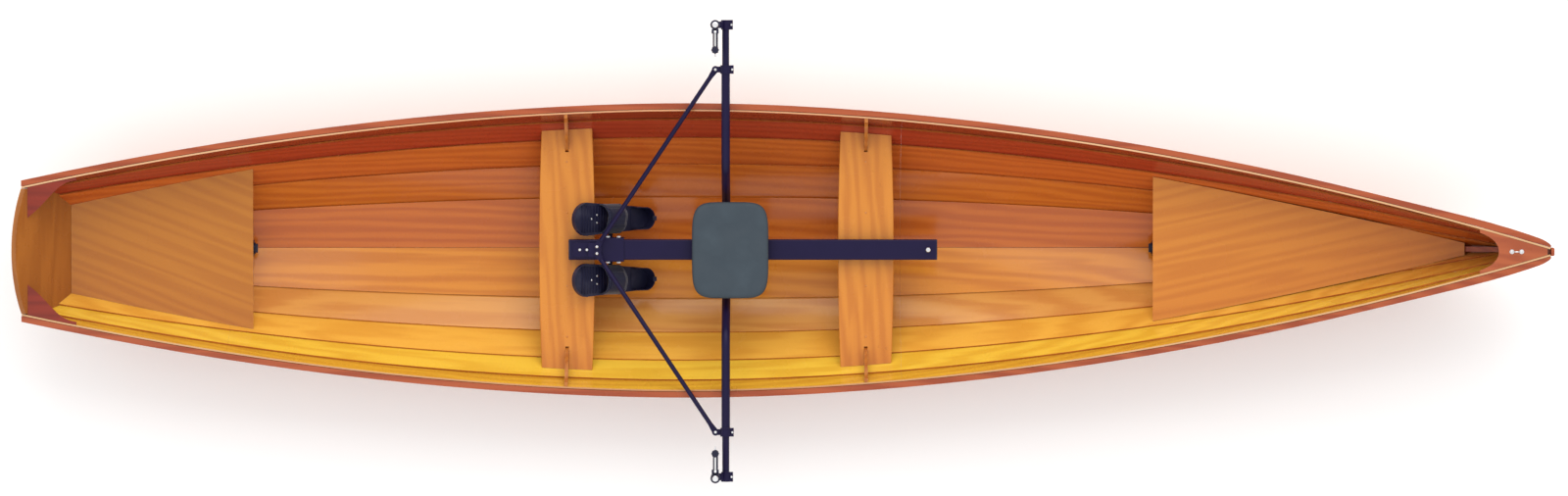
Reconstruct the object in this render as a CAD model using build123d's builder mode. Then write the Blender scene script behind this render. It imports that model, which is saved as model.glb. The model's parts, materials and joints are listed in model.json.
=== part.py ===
from build123d import *
import math
import os

# Lapstrake rowing wherry with a drop-in sliding-seat rig.
#
# The hull is five glued strakes a side on a raked transom and a curved stem, stiffened by outwales, knees,
# a breasthook, two frames with thwarts and two buoyancy tanks. The rig is a rail that lies on the thwarts
# and carries a rolling seat, a foot stretcher and a bent wing tube with a stayed oarlock at each end.
#
# Frame: millimetres, +X towards the bow, +Y to port, +Z up. The origin is on the ground under the middle of
# the length, in the plane of symmetry.

os.makedirs("parts", exist_ok=True)

# ------------------------------------------------------------------ hull sizes
hull_length = 5410  # crown of the transom to the tip of the bow
beam = 1038  # over the outwales
sheer_height = 368  # top of the planking amidships
widest_x = -340
plank_thickness = 6
glue_gap = 0.3
lap_gap = 0.8  # between lapped strakes, filled with glue
rail_gap = 1.5  # outwales to planking
lap_width = 14
fit_gap = 0.9  # panels inside the planking
scarf_gap = 0.3
stern_scarf_inset = 745  # from the stern to the strakes' aft joint
bow_scarf_inset = 2285  # from the bow to the strakes' fore joint

outwale_width = 20
outwale_depth = 22
nose_length = 55  # over which the outwales round in to the bow tip

transom_rake = 30
transom_crown = 50
transom_thickness = 18
stem_reach = 540  # forefoot to stem head, along X
stem_power = 2.6
stem_tongue_half = 8.7
stem_tongue_depth = 45
stem_nose = 15  # bow tip past the planking

stem_setback = 6  # the stem's rabbet behind the planking's ends
stem_round = 6
forefoot_swell = 10  # the stem's face thickens this much towards its foot
forefoot_drop = 12
stem_head_drop = 12  # head of the stem's tongue under the breasthook

keel_thickness = 20
keel_gap = 0.5
skeg_inset = 405  # from the stern to the skeg's heel
skeg_round = 60
skeg_heel_rise = 8
skeg_end_depth = 20
keel_rise_reach = 1805  # from the bow to where the keel starts to rise
forefoot_inset = 665  # from the bow to the keel's fore end

panel_thickness = 9
stern_tank_length = 819  # stern to the cockpit face of its bulkhead
bow_tank_length = 1383  # bow to the cockpit face of its bulkhead
deck_thickness = 6
stern_deck_top = 215
bow_deck_top = 202
deck_nosing = 8  # past the bulkheads, into the cockpit

frame_thickness = 12
frame_aft_x = -764
frame_fore_x = 295
frame_floor = 55  # depth of the frames over the keel
frame_head = 45  # depth of the frames under the thwarts
horn_root = 174  # from the beam's edge to the horns' inner edge
horn_foot = 30  # how far the horns' roots run down under the thwarts
horn_top_width = 14
horn_head_drop = 1
frame_cheek = 259  # from the beam's edge to the frames' opening
frame_opening_corner = 40
thwart_top = 235
thwart_thickness = 18
thwart_width = 197
thwart_end_width = 170
thwart_chamfer = 2
thwart_slot_gap = 0.4  # round the horns
limber_radius = 13

hook_thickness = 16
hook_throat_inset = 193  # from the bow tip
hook_horn_inset = 259
hook_horn_width = 12
knee_thickness = 18
knee_tip_inset = 221  # from the stern
knee_tip_y = 100
knee_tip_width = 11
eye_inset = 131
eye_pitch = 34
eye_pad_radius = 8
eye_pad_thickness = 2
eye_screw_radius = 5
eye_screw_height = 2.6
eye_rise = 13
eye_bar = 2.5

drain_height = 45  # drain axis above the keel line
drain_bore = 14
drain_flange = 29
drain_wall = 3.5
drain_flange_thickness = 3
drain_tail = 6  # of the socket past the bulkhead
plug_head = 6  # past the bore
plug_head_thickness = 5
plug_shank = 10
plug_grip = (32, 6)  # length and thickness of its finger bar
plug_grip_height = 9

# ------------------------------------------------------------------ rig sizes
rail_aft_x = -753
rail_fore_x = 543
rail_width = 72
rail_height = 45
rail_wall = 3
rail_corner = 5
cap_thickness = 4
cap_plug = 14

wing_x = -200
wing_radius = 15
wing_wall = 2.5
wing_low_half = 165  # half the low middle stretch, to the bend's corner
wing_shoulder = 300  # the upper bend's corner
wing_over_sheer = 53.7  # from the sheer's height up to the arms' axis
wing_bend = 70
wing_end = 651
extension_end = 812
extension_overlap = 90
tube_gap = 0.1
saddle_wall = 4
saddle_length = 110
saddle_inset = 12  # bolts from the saddle's ends
saddle_corner = 6

clamp_wall = 4
clamp_width = 30
clamp_lug = 14  # lugs of the split, square
clamp_slot = 1.5
clamp_screw_out = 6  # screw's axis outside the ring's wall
clamp_ear = 5
fitting_width = 34
boss_half = 13
brace_y = 638
arm_offset = 36  # pins and brace bolts aft of the wing's axis
brace_radius = 8
brace_blade = 34  # length of the flattened ends
brace_overlap = 8  # of the round tube into the blades
tab_thickness = 4
tab_radius = 11.5
brace_drop = 11  # brace tabs under the wing's axis
brace_inner_x = -656
brace_inner_y = 12
bracket_rise = 32
bracket_width = 50
bracket_aft_x = -742
bracket_riser_x = -686
bracket_wall = 5
bracket_bolt_x = (-717, -692)
bolt_radius = 3
bolt_gap = 0.1
bolt_head_radius = 5.5
bolt_head = 4
bolt_chamfer = 0.8
hold_down_y = (-20, 20)
hold_down_shift = 40  # from the frames' middles

pin_y = 795
pin_radius = 6.35
pin_clearance = 0.07
boss_radius = 14
lock_lift = 23  # underside of the oarlock over the wing's axis
lock_radius = 17
lock_height = 74
lock_sill = 13
lock_post = 88  # pin axis to the middle of the oarlock's post
lock_post_radius = 8
lock_web = 18
lock_neck = 2  # post's head under the pin's head
nut_radius = 11
nut_height = 8
pin_tail = 6  # below its nut
dome_height = 9
dome_round = 5
gate_radius = 3.5
gate_pivot = 25  # pin axis to the gate's pivot
gate_length = 112
gate_eye = 6.5
gate_pin = 2
gate_side_gap = 0.4
gate_seat = 5  # gate's axis over the oarlock's top
ear_radius = 6
ear_reach = 10  # ears' foot to the pivot
ear_foot = 26
knob_radius = 12
knob_ridge = 7
knob_height = 9
knob_drop = 2.5

seat_x = -185
seat_length = 270
seat_width = 340
seat_corner = 38
seat_thickness = 28
wheel_radius = 16
wheel_width = 12
wheel_base = 160
wheel_track = 44
axle_radius = 4
axle_clearance = 0.06
carriage_length = 204
carriage_width = 64
carriage_wall = 4
carriage_gap = 3
soft_gap = 0.3
stop_x = 515
stop_head_radius = 9
stop_head = 9

heel_x = -478
heel_z = 110
foot_tilt = 38
foot_length = 335
foot_y = 108
toe_radius = 59
heel_radius = 41
sole_thickness = 5
rim_height = 12
rim_wall = 3
cup_height = 42
cup_length = 78
cup_wall = 3
strap_middle = 176  # heel to the middle of the strap, along the sole
strap_width = 84
strap_height = 58
strap_half = 53
strap_thickness = 3.5
stretcher_aft_x = -646
stretcher_fore_x = -562
stretcher_wall = 6
stretcher_gap = 0.3
stretcher_screw_inset = (28, 18)  # aft and fore
crossbar_radius = 8
crossbar_wall = 2
clip_drop = 14.2  # sole's face to the crossbar's axis
clip_wall = 5
clip_width = 50
crossbar_half = 152
crossbar_along = 158  # heel to the crossbar, along the sole

# ------------------------------------------------------------------ lines of the hull
# Each lap line from the keel up: its inner half-breadth at the transom and amidships as shares of the
# sheer's, its height at the transom, amidships and at the stem as shares of the sheer's amidships, and the
# powers of its four end curves.
lap_lines = (
    {"breadth": (0.0010, 0.0010), "height": (0.323, 0.054, 0.150), "plan": (2.00, 6.00), "rise": (3.0, 4.0)},
    {"breadth": (0.1785, 0.365), "height": (0.429, 0.112, 0.394), "plan": (2.04, 2.20), "rise": (2.4, 2.6)},
    {"breadth": (0.2960, 0.607), "height": (0.587, 0.277, 0.647), "plan": (1.97, 2.02), "rise": (2.2, 2.5)},
    {"breadth": (0.3810, 0.800), "height": (0.764, 0.489, 0.902), "plan": (1.94, 1.92), "rise": (2.1, 2.4)},
    {"breadth": (0.4300, 0.935), "height": (0.976, 0.736, 1.155), "plan": (1.91, 1.88), "rise": (2.0, 2.3)},
    {"breadth": (0.4480, 1.000), "height": (1.204, 1.000, 1.408), "plan": (1.87, 1.87), "rise": (2.0, 2.2)},
)
strake_names = ("garboard", "second_strake", "third_strake", "fourth_strake", "sheer_strake")
STRAKES = len(strake_names)
sheer_half_breadth = beam / 2 - outwale_width - rail_gap - plank_thickness
stem_line_half = stem_tongue_half + glue_gap
stern_x = -hull_length / 2
bow_x = hull_length / 2
scarf_x = (stern_x + stern_scarf_inset, bow_x - bow_scarf_inset)
bulkhead_aft_x = stern_x + stern_tank_length
bulkhead_fore_x = bow_x - bow_tank_length

rake_slope = math.tan(math.radians(transom_rake))
transom_corner_z = lap_lines[STRAKES]["height"][0] * sheer_height
transom_top_z = transom_corner_z + transom_crown
stem_foot_z = lap_lines[0]["height"][2] * sheer_height
stem_head_z = lap_lines[STRAKES]["height"][2] * sheer_height
transom_plane = Plane(
    origin=(stern_x, 0, transom_top_z),
    x_dir=(0, 1, 0),
    z_dir=(math.cos(math.radians(transom_rake)), 0, math.sin(math.radians(transom_rake))),
)


def transom_x(z):
    """X of the transom's aft face at height z."""
    return stern_x + rake_slope * (transom_top_z - z)


def stem_x(z):
    """X of the planking's fore ends at height z."""
    up = (z - stem_foot_z) / (stem_head_z - stem_foot_z)
    return bow_x - stem_nose - stem_reach * (1 - up) ** stem_power


def line_ends(row):
    """X of a lap line's aft and fore ends."""
    aft, _, fore = (share * sheer_height for share in lap_lines[row]["height"])
    return transom_x(aft), stem_x(fore)


def line_at_x(row, x):
    """A lap line's inner point on the port side at X."""
    line = lap_lines[row]
    x_aft, x_fore = line_ends(row)
    z_aft, z_middle, z_fore = (share * sheer_height for share in line["height"])
    y_aft, y_middle = (share * sheer_half_breadth for share in line["breadth"])
    if x < widest_x:
        run = (widest_x - x) / (widest_x - x_aft)
        y = y_middle + (y_aft - y_middle) * run ** line["plan"][0]
        z = z_middle + (z_aft - z_middle) * run ** line["rise"][0]
    else:
        run = (x - widest_x) / (x_fore - widest_x)
        y = y_middle + (stem_line_half - y_middle) * run ** line["plan"][1]
        z = z_middle + (z_fore - z_middle) * run ** line["rise"][1]
    return Vector(x, y, z)


def line_point(row, t):
    """A lap line's inner point on the port side, t running from 0 at the transom to 1 at the stem."""
    x_aft, x_fore = line_ends(row)
    return line_at_x(row, x_aft + t * (x_fore - x_aft))


def line_share(row, x):
    """The t of a lap line's point at X."""
    x_aft, x_fore = line_ends(row)
    return (x - x_aft) / (x_fore - x_aft)


def strake_axes(row, t):
    """Unit vectors along a port strake, up it and out of it."""
    step = 0.002
    along = Vector(0, 0, 0)
    for line in (row, row + 1):
        along += line_point(line, t + step) - line_point(line, t - step)
    along = along.normalized()
    up = (line_point(row + 1, t) - line_point(row, t)).normalized()
    return along, up, up.cross(along).normalized()


def strake_corners(row, t):
    """Corners of a port strake's section. Its foot laps over the outside of the strake below."""
    along, up, out = strake_axes(row, t)
    low, high = line_point(row, t), line_point(row + 1, t)
    if row == 0:
        return [low, high, high + out * plank_thickness, low + out * plank_thickness]
    _, up_below, out_below = strake_axes(row - 1, t)
    seat = low + out_below * (plank_thickness + lap_gap)
    foot = seat - up_below * lap_width
    normal = up.cross(out)
    seat, foot = (p - along * ((p - low).dot(normal) / along.dot(normal)) for p in (seat, foot))
    edge = (seat + foot - up * lap_width) * 0.5 + out * plank_thickness
    return [foot, seat, high, high + out * plank_thickness, edge]


def section_face(corners):
    """A flat face through a closed outline's corners."""
    normal = (corners[1] - corners[0]).cross(corners[-1] - corners[0])
    plane = Plane(origin=corners[0], x_dir=corners[1] - corners[0], z_dir=normal)
    with BuildSketch(plane) as section:
        with BuildLine():
            Polyline(*[plane.to_local_coords(c) for c in corners], close=True)
        make_face()
    return section.sketch.face()


def inner_corners(x):
    """Outline of the space inside the port planking at X, from the keel to above the sheer."""
    corners = [Vector(x, 0, line_at_x(0, x).Z + fit_gap)]
    for row in range(STRAKES):
        along, up, out = strake_axes(row, line_share(row, x))
        low, high = line_at_x(row, x), line_at_x(row + 1, x)
        if row:
            out_below = strake_axes(row - 1, line_share(row, x))[2]
            corners.append(low + out_below * (plank_thickness + lap_gap) + (up - out) * fit_gap)
        corners.append(high - out * fit_gap)
        corners.append(high + (up - out) * fit_gap)
    corners = [c + along * ((x - c.X) / along.X) for c in corners]
    corners[-1] = Vector(x, corners[-2].Y, corners[-2].Z + 2 * transom_crown)
    return corners


def lengthwise(first, last, count):
    """Evenly spaced values from first to last."""
    return [first + (last - first) * i / (count - 1) for i in range(count)]


def save(part, name):
    """Labels a finished piece and writes it."""
    part.label = name
    export_step(part, f"parts/{name}.step")


def save_group(parts, name):
    """Writes separate solids that share one node."""
    with BuildPart() as group:
        for part in parts:
            add(part)
    save(group.part, name)


def save_twins(part, name):
    """Writes a port piece and its starboard twin in one node."""
    with BuildPart() as twins:
        add(part)
        mirror(part, about=Plane.XZ)
    save(twins.part, name)


def save_pair(part, name):
    """Writes a port piece and its starboard twin."""
    with BuildPart() as twin:
        mirror(part, about=Plane.XZ)
    save(part, f"{name}_port")
    save(twin.part, f"{name}_starboard")


# ------------------------------------------------------------------ planking
overrun = 0.008
planks = []
strake_stations = [-overrun, *lengthwise(0.05, 1.0, 20)]
for row, strake_name in enumerate(strake_names):
    with BuildPart() as strake:
        loft([section_face(strake_corners(row, t)) for t in strake_stations])
        split(bisect_by=transom_plane, keep=Keep.TOP)
        for x in scarf_x:
            with BuildSketch(Plane.YZ.offset(x - scarf_gap / 2)):
                Rectangle(2 * beam, 4 * sheer_height)
            extrude(amount=scarf_gap, mode=Mode.SUBTRACT)
    save_pair(strake.part, strake_name)
    planks.append(strake.part)

# ------------------------------------------------------------------ space inside the planking
cavity_stations = [stern_x - 20, *lengthwise(stern_x + 200, bulkhead_fore_x + 230, 20)]
cavity_sections = []
for x in cavity_stations:
    half = inner_corners(x)
    cavity_sections.append(section_face(half + [Vector(c.X, -c.Y, c.Z) for c in reversed(half[1:])]))
with BuildPart() as cavity:
    loft(cavity_sections)


# ------------------------------------------------------------------ transom, bulkheads and decks
corner_half = lap_lines[STRAKES]["breadth"][0] * sheer_half_breadth
corner_drop = transom_crown / math.cos(math.radians(transom_rake))
with BuildPart() as transom:
    with BuildSketch(transom_plane):
        with BuildLine():
            ThreePointArc((-corner_half, -corner_drop), (0, 0), (corner_half, -corner_drop))
            Polyline(
                (corner_half, -corner_drop),
                (corner_half, -2 * sheer_height),
                (-corner_half, -2 * sheer_height),
                (-corner_half, -corner_drop),
            )
        make_face()
    extrude(amount=transom_thickness)
    add(cavity.part, mode=Mode.INTERSECT)
save(transom.part, "transom")
transom_face = transom_plane.offset(transom_thickness + fit_gap)


def bulkhead(aft_x, top, axis_z):
    """A watertight bulkhead under a deck, with a drain hole."""
    with BuildPart() as panel:
        with BuildSketch(Plane.YZ.offset(aft_x)):
            Rectangle(beam, top, align=(Align.CENTER, Align.MIN))
            with Locations((0, axis_z)):
                Circle(drain_bore + drain_wall + glue_gap, mode=Mode.SUBTRACT)
        extrude(amount=panel_thickness)
        add(cavity.part, mode=Mode.INTERSECT)
        for plank in planks[:2]:
            add(plank, mode=Mode.SUBTRACT)
            add(plank.mirror(Plane.XZ), mode=Mode.SUBTRACT)
    return panel.part


def inner_breadth(x, z):
    """Half-breadth inside the planking at X and height z."""
    for row in range(STRAKES):
        low, high = line_at_x(row, x), line_at_x(row + 1, x)
        if z <= high.Z:
            up = (z - low.Z) / (high.Z - low.Z)
            return low.Y + up * (high.Y - low.Y)
    return high.Y


def waterline(z, row, first, last, count):
    """Points of the inner faces of the planking at height z, by t, from strake row upwards."""
    points = []
    for t in lengthwise(first, last, count):
        level = row
        while line_point(level + 1, t).Z < z:
            level += 1
        low, high = line_point(level, t), line_point(level + 1, t)
        point = low + (high - low) * ((z - low.Z) / (high.Z - low.Z))
        points.append(Vector(point.X, point.Y - fit_gap, z))
    return points


def drain_axis(x):
    """Height of the drain over the ground at X."""
    return line_at_x(0, x).Z + drain_height


stern_drain_z = drain_axis(bulkhead_aft_x)
bow_drain_z = drain_axis(bulkhead_fore_x)
stern_under = stern_deck_top - deck_thickness - glue_gap
bow_under = bow_deck_top - deck_thickness - glue_gap
save(bulkhead(bulkhead_aft_x - panel_thickness, stern_under, stern_drain_z), "stern_bulkhead")
save(bulkhead(bulkhead_fore_x, bow_under, bow_drain_z), "bow_bulkhead")

with BuildPart() as stern_deck:
    with BuildSketch(Plane.XY.offset(stern_deck_top)):
        with Locations((bulkhead_aft_x + deck_nosing, 0)):
            Rectangle(hull_length, beam, align=(Align.MAX, Align.CENTER))
    extrude(amount=-deck_thickness)
    add(cavity.part, mode=Mode.INTERSECT)
    split(bisect_by=transom_face, keep=Keep.TOP)
save(stern_deck.part, "stern_deck")

deck_start = line_share(2, bulkhead_fore_x - deck_nosing) + 0.02
deck_faces = []
for z in (bow_deck_top - deck_thickness, bow_deck_top):
    edge = waterline(z, 0, deck_start, 0.985, 22)
    edge_x = bulkhead_fore_x - deck_nosing
    start = Vector(edge_x, inner_breadth(edge_x, z) - fit_gap, z)
    edge = [start, *[p for p in edge if p.X > edge_x + 20]]
    deck_faces.append(section_face(edge + [Vector(p.X, -p.Y, p.Z) for p in reversed(edge)]))
with BuildPart() as bow_deck:
    loft(deck_faces, ruled=True)
save(bow_deck.part, "bow_deck")

# ------------------------------------------------------------------ keel and stem
skeg_heel_x = stern_x + skeg_inset
keel_rise_x = bow_x - keel_rise_reach
keel_fore_x = bow_x - forefoot_inset


def keel_top(x):
    """Height of the keel's top edge at X, under the garboards."""
    return line_at_x(0, x).Z - plank_thickness - keel_gap


with BuildPart() as keel:
    with BuildSketch(Plane.XZ.offset(-keel_thickness / 2)):
        with BuildLine():
            keel_end_x = line_ends(0)[0] + 4
            top = [(x, keel_top(x)) for x in (keel_end_x, *lengthwise(skeg_heel_x, keel_fore_x, 14))]
            depth = keel_top(keel_rise_x)
            fore = [(x, keel_top(x) - depth) for x in lengthwise(keel_rise_x + 200, keel_fore_x, 6)]
            Spline(*top)
            Line(top[-1], fore[-1])
            Spline((keel_rise_x, 0), *fore, tangents=((1, 0), (1, 0.2)))
            Polyline(
                (keel_rise_x, 0),
                (skeg_heel_x, 0),
                (skeg_heel_x - skeg_round, skeg_heel_rise),
                (keel_end_x, top[0][1] - skeg_end_depth),
                top[0],
            )
        make_face()
    extrude(amount=keel_thickness)
save(keel.part, "keel")

stem_heights = [line_point(row, 1).Z for row in range(STRAKES + 1)]
stem_heights[-1] -= hook_thickness + stem_head_drop
with BuildPart() as stem:
    rabbet = [(stem_x(z) + stem_setback, z) for z in stem_heights]
    inner = [(x - stem_tongue_depth, z + stem_setback) for x, z in rabbet[:-1]]
    inner.append((rabbet[-1][0] - stem_tongue_depth, rabbet[-1][1]))
    with BuildSketch(Plane.XZ.offset(-stem_tongue_half)):
        with BuildLine():
            Polyline(*rabbet, *reversed(inner), close=True)
        make_face()
    extrude(amount=2 * stem_tongue_half)
    cap_half = stem_tongue_half + plank_thickness
    with BuildSketch(Plane.XZ.offset(-cap_half)):
        with BuildLine():
            back = [(stem_x(z) + stem_setback - 1, z) for z in stem_heights[:-1]]
            back.append((bow_x - stem_nose + stem_setback - 2, stem_head_z))
            face = []
            for i, z in enumerate(stem_heights[:-1]):
                swell = 1 - i / STRAKES
                face.append((stem_x(z) + stem_nose + forefoot_swell * swell, z - forefoot_drop * swell))
            face.append((bow_x, stem_head_z))
            Polyline(*back)
            Line(back[-1], face[-1])
            Spline(*face)
            Line(face[0], back[0])
        make_face()
    extrude(amount=2 * cap_half)
    fillet(stem.edges().filter_by(GeomType.BSPLINE), stem_round)
save(stem.part, "stem")

# ------------------------------------------------------------------ frames and thwarts
thwart_under = thwart_top - thwart_thickness
horn_inner_y = beam / 2 - horn_root


def frame_and_thwart(x):
    """A frame with horns that run up the planking through the thwart on top of it."""
    floor_z = line_at_x(0, x).Z + frame_floor
    sheer = line_at_x(STRAKES, x)
    top_y, top_z = sheer.Y - horn_top_width, sheer.Z - horn_head_drop
    foot_z = thwart_under - horn_foot
    with BuildPart() as rib:
        with BuildSketch(Plane.YZ.offset(x - frame_thickness / 2)):
            Rectangle(beam, 2 * (thwart_under - glue_gap), align=(Align.CENTER, Align.CENTER))
            with BuildLine():
                inner = Line((horn_inner_y, foot_z), (horn_inner_y, thwart_under + 4))
                bend = (top_y - 2 * horn_top_width, top_z - 41)
                slope = Spline(inner @ 1, bend, (top_y, top_z), tangents=((0.5, 1), (0.1, 1)))
                Polyline(slope @ 1, (beam, top_z), (beam, foot_z), inner @ 0)
            make_face()
            mirror(about=Plane.YZ)
            with Locations((0, (floor_z + thwart_under - frame_head) / 2)):
                opening = thwart_under - frame_head - floor_z
                RectangleRounded(beam - 2 * frame_cheek, opening, frame_opening_corner, mode=Mode.SUBTRACT)
            with Locations((0, floor_z - frame_floor)):
                Circle(limber_radius, mode=Mode.SUBTRACT)
        extrude(amount=frame_thickness)
        add(cavity.part, mode=Mode.INTERSECT)
    with BuildPart() as seat:
        with BuildSketch(Plane.XY.offset(thwart_under)) as plan:
            with BuildLine():
                end, bulge = thwart_end_width / 2, thwart_width / 2
                fore = ThreePointArc((x + end, -beam / 2), (x + bulge, 0), (x + end, beam / 2))
                aft = ThreePointArc((x - end, -beam / 2), (x - bulge, 0), (x - end, beam / 2))
                Line(fore @ 0, aft @ 0)
                Line(fore @ 1, aft @ 1)
            make_face()
            for side in (1, -1):
                with Locations((x, side * ((horn_inner_y + beam) / 2 - thwart_slot_gap))):
                    Rectangle(frame_thickness + 2 * thwart_slot_gap, beam - horn_inner_y, mode=Mode.SUBTRACT)
        extrude(amount=thwart_thickness)
        chamfer(seat.edges().filter_by(GeomType.CIRCLE), thwart_chamfer)
        add(cavity.part, mode=Mode.INTERSECT)
        for y in hold_down_y:
            with Locations((x + hold_down_shift, y, thwart_under)):
                Cylinder(bolt_radius + bolt_gap, 3 * thwart_thickness, mode=Mode.SUBTRACT)
    return rib.part, seat.part


aft_frame, aft_thwart = frame_and_thwart(frame_aft_x)
fore_frame, fore_thwart = frame_and_thwart(frame_fore_x)
save(aft_frame, "aft_frame")
save(fore_frame, "forward_frame")
save(aft_thwart, "aft_thwart")
save(fore_thwart, "forward_thwart")

# ------------------------------------------------------------------ outwales, breasthook and quarter knees


def outwale_corners(t):
    """Corners of the port outwale's section, outside the sheer strake."""
    along, up, out = strake_axes(STRAKES - 1, t)
    edge = line_point(STRAKES, t)
    level = Vector(-along.Y, along.X, 0).normalized()
    reach = (plank_thickness + rail_gap) / out.dot(level)
    over_nose = max(0.0, (edge.X + nose_length + 8 - outwale_end_x) / (nose_length + 10))
    width = outwale_width * math.sqrt(1 - min(over_nose, 0.97) ** 2)
    lean = up.dot(level) / up.Z * outwale_depth
    top = edge + level * reach
    low = top - Vector(0, 0, outwale_depth) - level * lean
    return [top, low, low + level * (width + lean * 0.5), top + level * width]


outwale_end_x = bow_x - stem_nose
nose_start = line_share(STRAKES, outwale_end_x - nose_length)
nose_stations = [nose_start + (1 - nose_start) * share for share in (0.3, 0.6, 0.8, 0.93, 1.0)]
with BuildPart() as outwale:
    outwale_stations = [-overrun, *lengthwise(0.07, nose_start, 13), *nose_stations]
    loft([section_face(outwale_corners(t)) for t in outwale_stations])
    split(bisect_by=transom_plane, keep=Keep.TOP)
save_pair(outwale.part, "outwale")

hook_horn_x = bow_x - hook_horn_inset
hook_throat_x = bow_x - hook_throat_inset
hook_edge = [line_point(STRAKES, t) for t in lengthwise(line_share(STRAKES, hook_horn_x), 0.9985, 8)]
hook_top = [Vector(p.X, p.Y - fit_gap, 0) for p in hook_edge]
hook_z = line_at_x(STRAKES, hook_throat_x).Z
hook_end = line_point(STRAKES, 0.9985)
hook_pitch = math.degrees(math.atan2(hook_end.Z - hook_edge[0].Z, hook_end.X - hook_edge[0].X))
hook_plane = Plane(origin=(hook_horn_x, 0, hook_edge[0].Z)).rotated((0, -hook_pitch, 0))
with BuildPart() as breasthook:
    with BuildSketch(hook_plane):
        with BuildLine():
            side = [(p.X - hook_horn_x, p.Y) for p in hook_top]
            Spline(*side)
            Line(side[-1], (side[-1][0], -side[-1][1]))
            Spline(*[(x, -y) for x, y in side])
            horn_y = side[0][1] - hook_horn_width
            Line(side[0], (0, horn_y))
            Line((0, -side[0][1]), (0, -horn_y))
            Spline(
                (0, horn_y),
                (hook_throat_x - hook_horn_x, 0),
                (0, -horn_y),
                tangents=((1, -0.35), (-1, -0.35)),
            )
        make_face()
    extrude(amount=-hook_thickness)
save(breasthook.part, "breasthook")

knee_tip_x = stern_x + knee_tip_inset
knee_edge = line_at_x(STRAKES, knee_tip_x)
knee_corner = line_point(STRAKES, 0)
knee_pitch = math.degrees(math.atan2(knee_corner.Z - knee_edge.Z, knee_edge.X - knee_corner.X))
knee_plane = Plane(origin=(knee_tip_x, 0, knee_edge.Z)).rotated((0, knee_pitch, 0))
knee_reach = knee_tip_x - transom_x(transom_corner_z) - transom_thickness
with BuildPart() as quarter_knees:
    with BuildSketch(knee_plane):
        with BuildLine():
            Spline(
                (0, knee_edge.Y - knee_tip_width),
                (-knee_reach * 0.52, corner_half - 26),
                (-knee_reach * 0.86, knee_tip_y + 34),
                (-knee_reach - 12, knee_tip_y),
                tangents=((-1, -0.12), (-0.75, -1)),
            )
            Polyline(
                (-knee_reach - 12, knee_tip_y),
                (-knee_reach - 70, knee_tip_y),
                (-knee_reach - 70, beam / 2),
                (0, beam / 2),
                (0, knee_edge.Y - knee_tip_width),
            )
        make_face()
    extrude(amount=-knee_thickness)
    mirror(about=Plane.XZ)
    add(cavity.part, mode=Mode.INTERSECT)
    split(bisect_by=transom_face, keep=Keep.TOP)
save(quarter_knees.part, "quarter_knees")

# ------------------------------------------------------------------ deck fittings
eye_x = bow_x - eye_inset
deck_z = hook_edge[0].Z + math.tan(math.radians(hook_pitch)) * (eye_x - hook_horn_x)
eye_plane = Plane(origin=(eye_x, 0, deck_z)).rotated((0, -hook_pitch, 0)).offset(glue_gap)
with BuildPart() as pad_eye:
    with BuildSketch(eye_plane):
        with GridLocations(eye_pitch, 0, 2, 1):
            Circle(eye_pad_radius)
            Circle(eye_screw_radius / 2, mode=Mode.SUBTRACT)
    extrude(amount=eye_pad_thickness)
    with BuildLine(Plane(origin=eye_plane.origin, x_dir=eye_plane.x_dir, z_dir=(0, -1, 0))) as eye_path:
        foot = eye_pad_thickness / 2
        FilletPolyline((-8, foot), (-6, eye_rise), (6, eye_rise), (8, foot), radius=5)
    with BuildSketch(Plane(origin=eye_path.line @ 0, z_dir=eye_path.line % 0)):
        Circle(eye_bar)
    sweep(path=eye_path.line)
with BuildPart() as eye_screws:
    with BuildSketch(eye_plane.offset(eye_pad_thickness + glue_gap)):
        with GridLocations(eye_pitch, 0, 2, 1):
            Circle(eye_screw_radius)
    extrude(amount=eye_screw_height)
    fillet([screw.edges().sort_by(Axis.Z)[-1] for screw in eye_screws.solids()], 1.8)
save_group((pad_eye.part, eye_screws.part), "pad_eye")


def drain_pieces(x, z, into):
    """A drain socket glued into a bulkhead and its plug; into is the direction of the tank along X."""
    face = Plane(origin=(x, 0, z), x_dir=(0, 1, 0), z_dir=(-into, 0, 0))
    seat = face.offset(drain_flange_thickness + 2 * glue_gap)
    with BuildPart() as socket:
        with BuildSketch(face.offset(glue_gap)):
            Circle(drain_flange)
            Circle(drain_bore, mode=Mode.SUBTRACT)
        extrude(amount=drain_flange_thickness)
        with BuildSketch(face.offset(glue_gap)):
            Circle(drain_bore + drain_wall)
            Circle(drain_bore, mode=Mode.SUBTRACT)
        extrude(amount=-panel_thickness - drain_tail)
    with BuildPart() as plug:
        with BuildSketch(seat):
            Circle(drain_bore + plug_head)
        extrude(amount=plug_head_thickness)
        with BuildSketch(seat):
            Circle(drain_bore - tube_gap)
        extrude(amount=-plug_shank)
        with BuildSketch(seat.offset(plug_head_thickness - 1)):
            SlotOverall(*plug_grip)
        extrude(amount=plug_grip_height)
        fillet(plug.faces().sort_by(Axis.X)[0 if into > 0 else -1].edges(), plug_grip[1] / 3)
    return socket.part, plug.part


stern_socket, stern_plug = drain_pieces(bulkhead_aft_x, stern_drain_z, -1)
bow_socket, bow_plug = drain_pieces(bulkhead_fore_x, bow_drain_z, 1)
save_group((stern_socket, bow_socket), "drain_sockets")
save(stern_plug, "stern_drain_plug")
save(bow_plug, "bow_drain_plug")

# ------------------------------------------------------------------ rail
rail_bottom = thwart_top + glue_gap
rail_top = rail_bottom + rail_height
rail_middle = (rail_bottom + rail_top) / 2
rail_half = rail_width / 2


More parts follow.
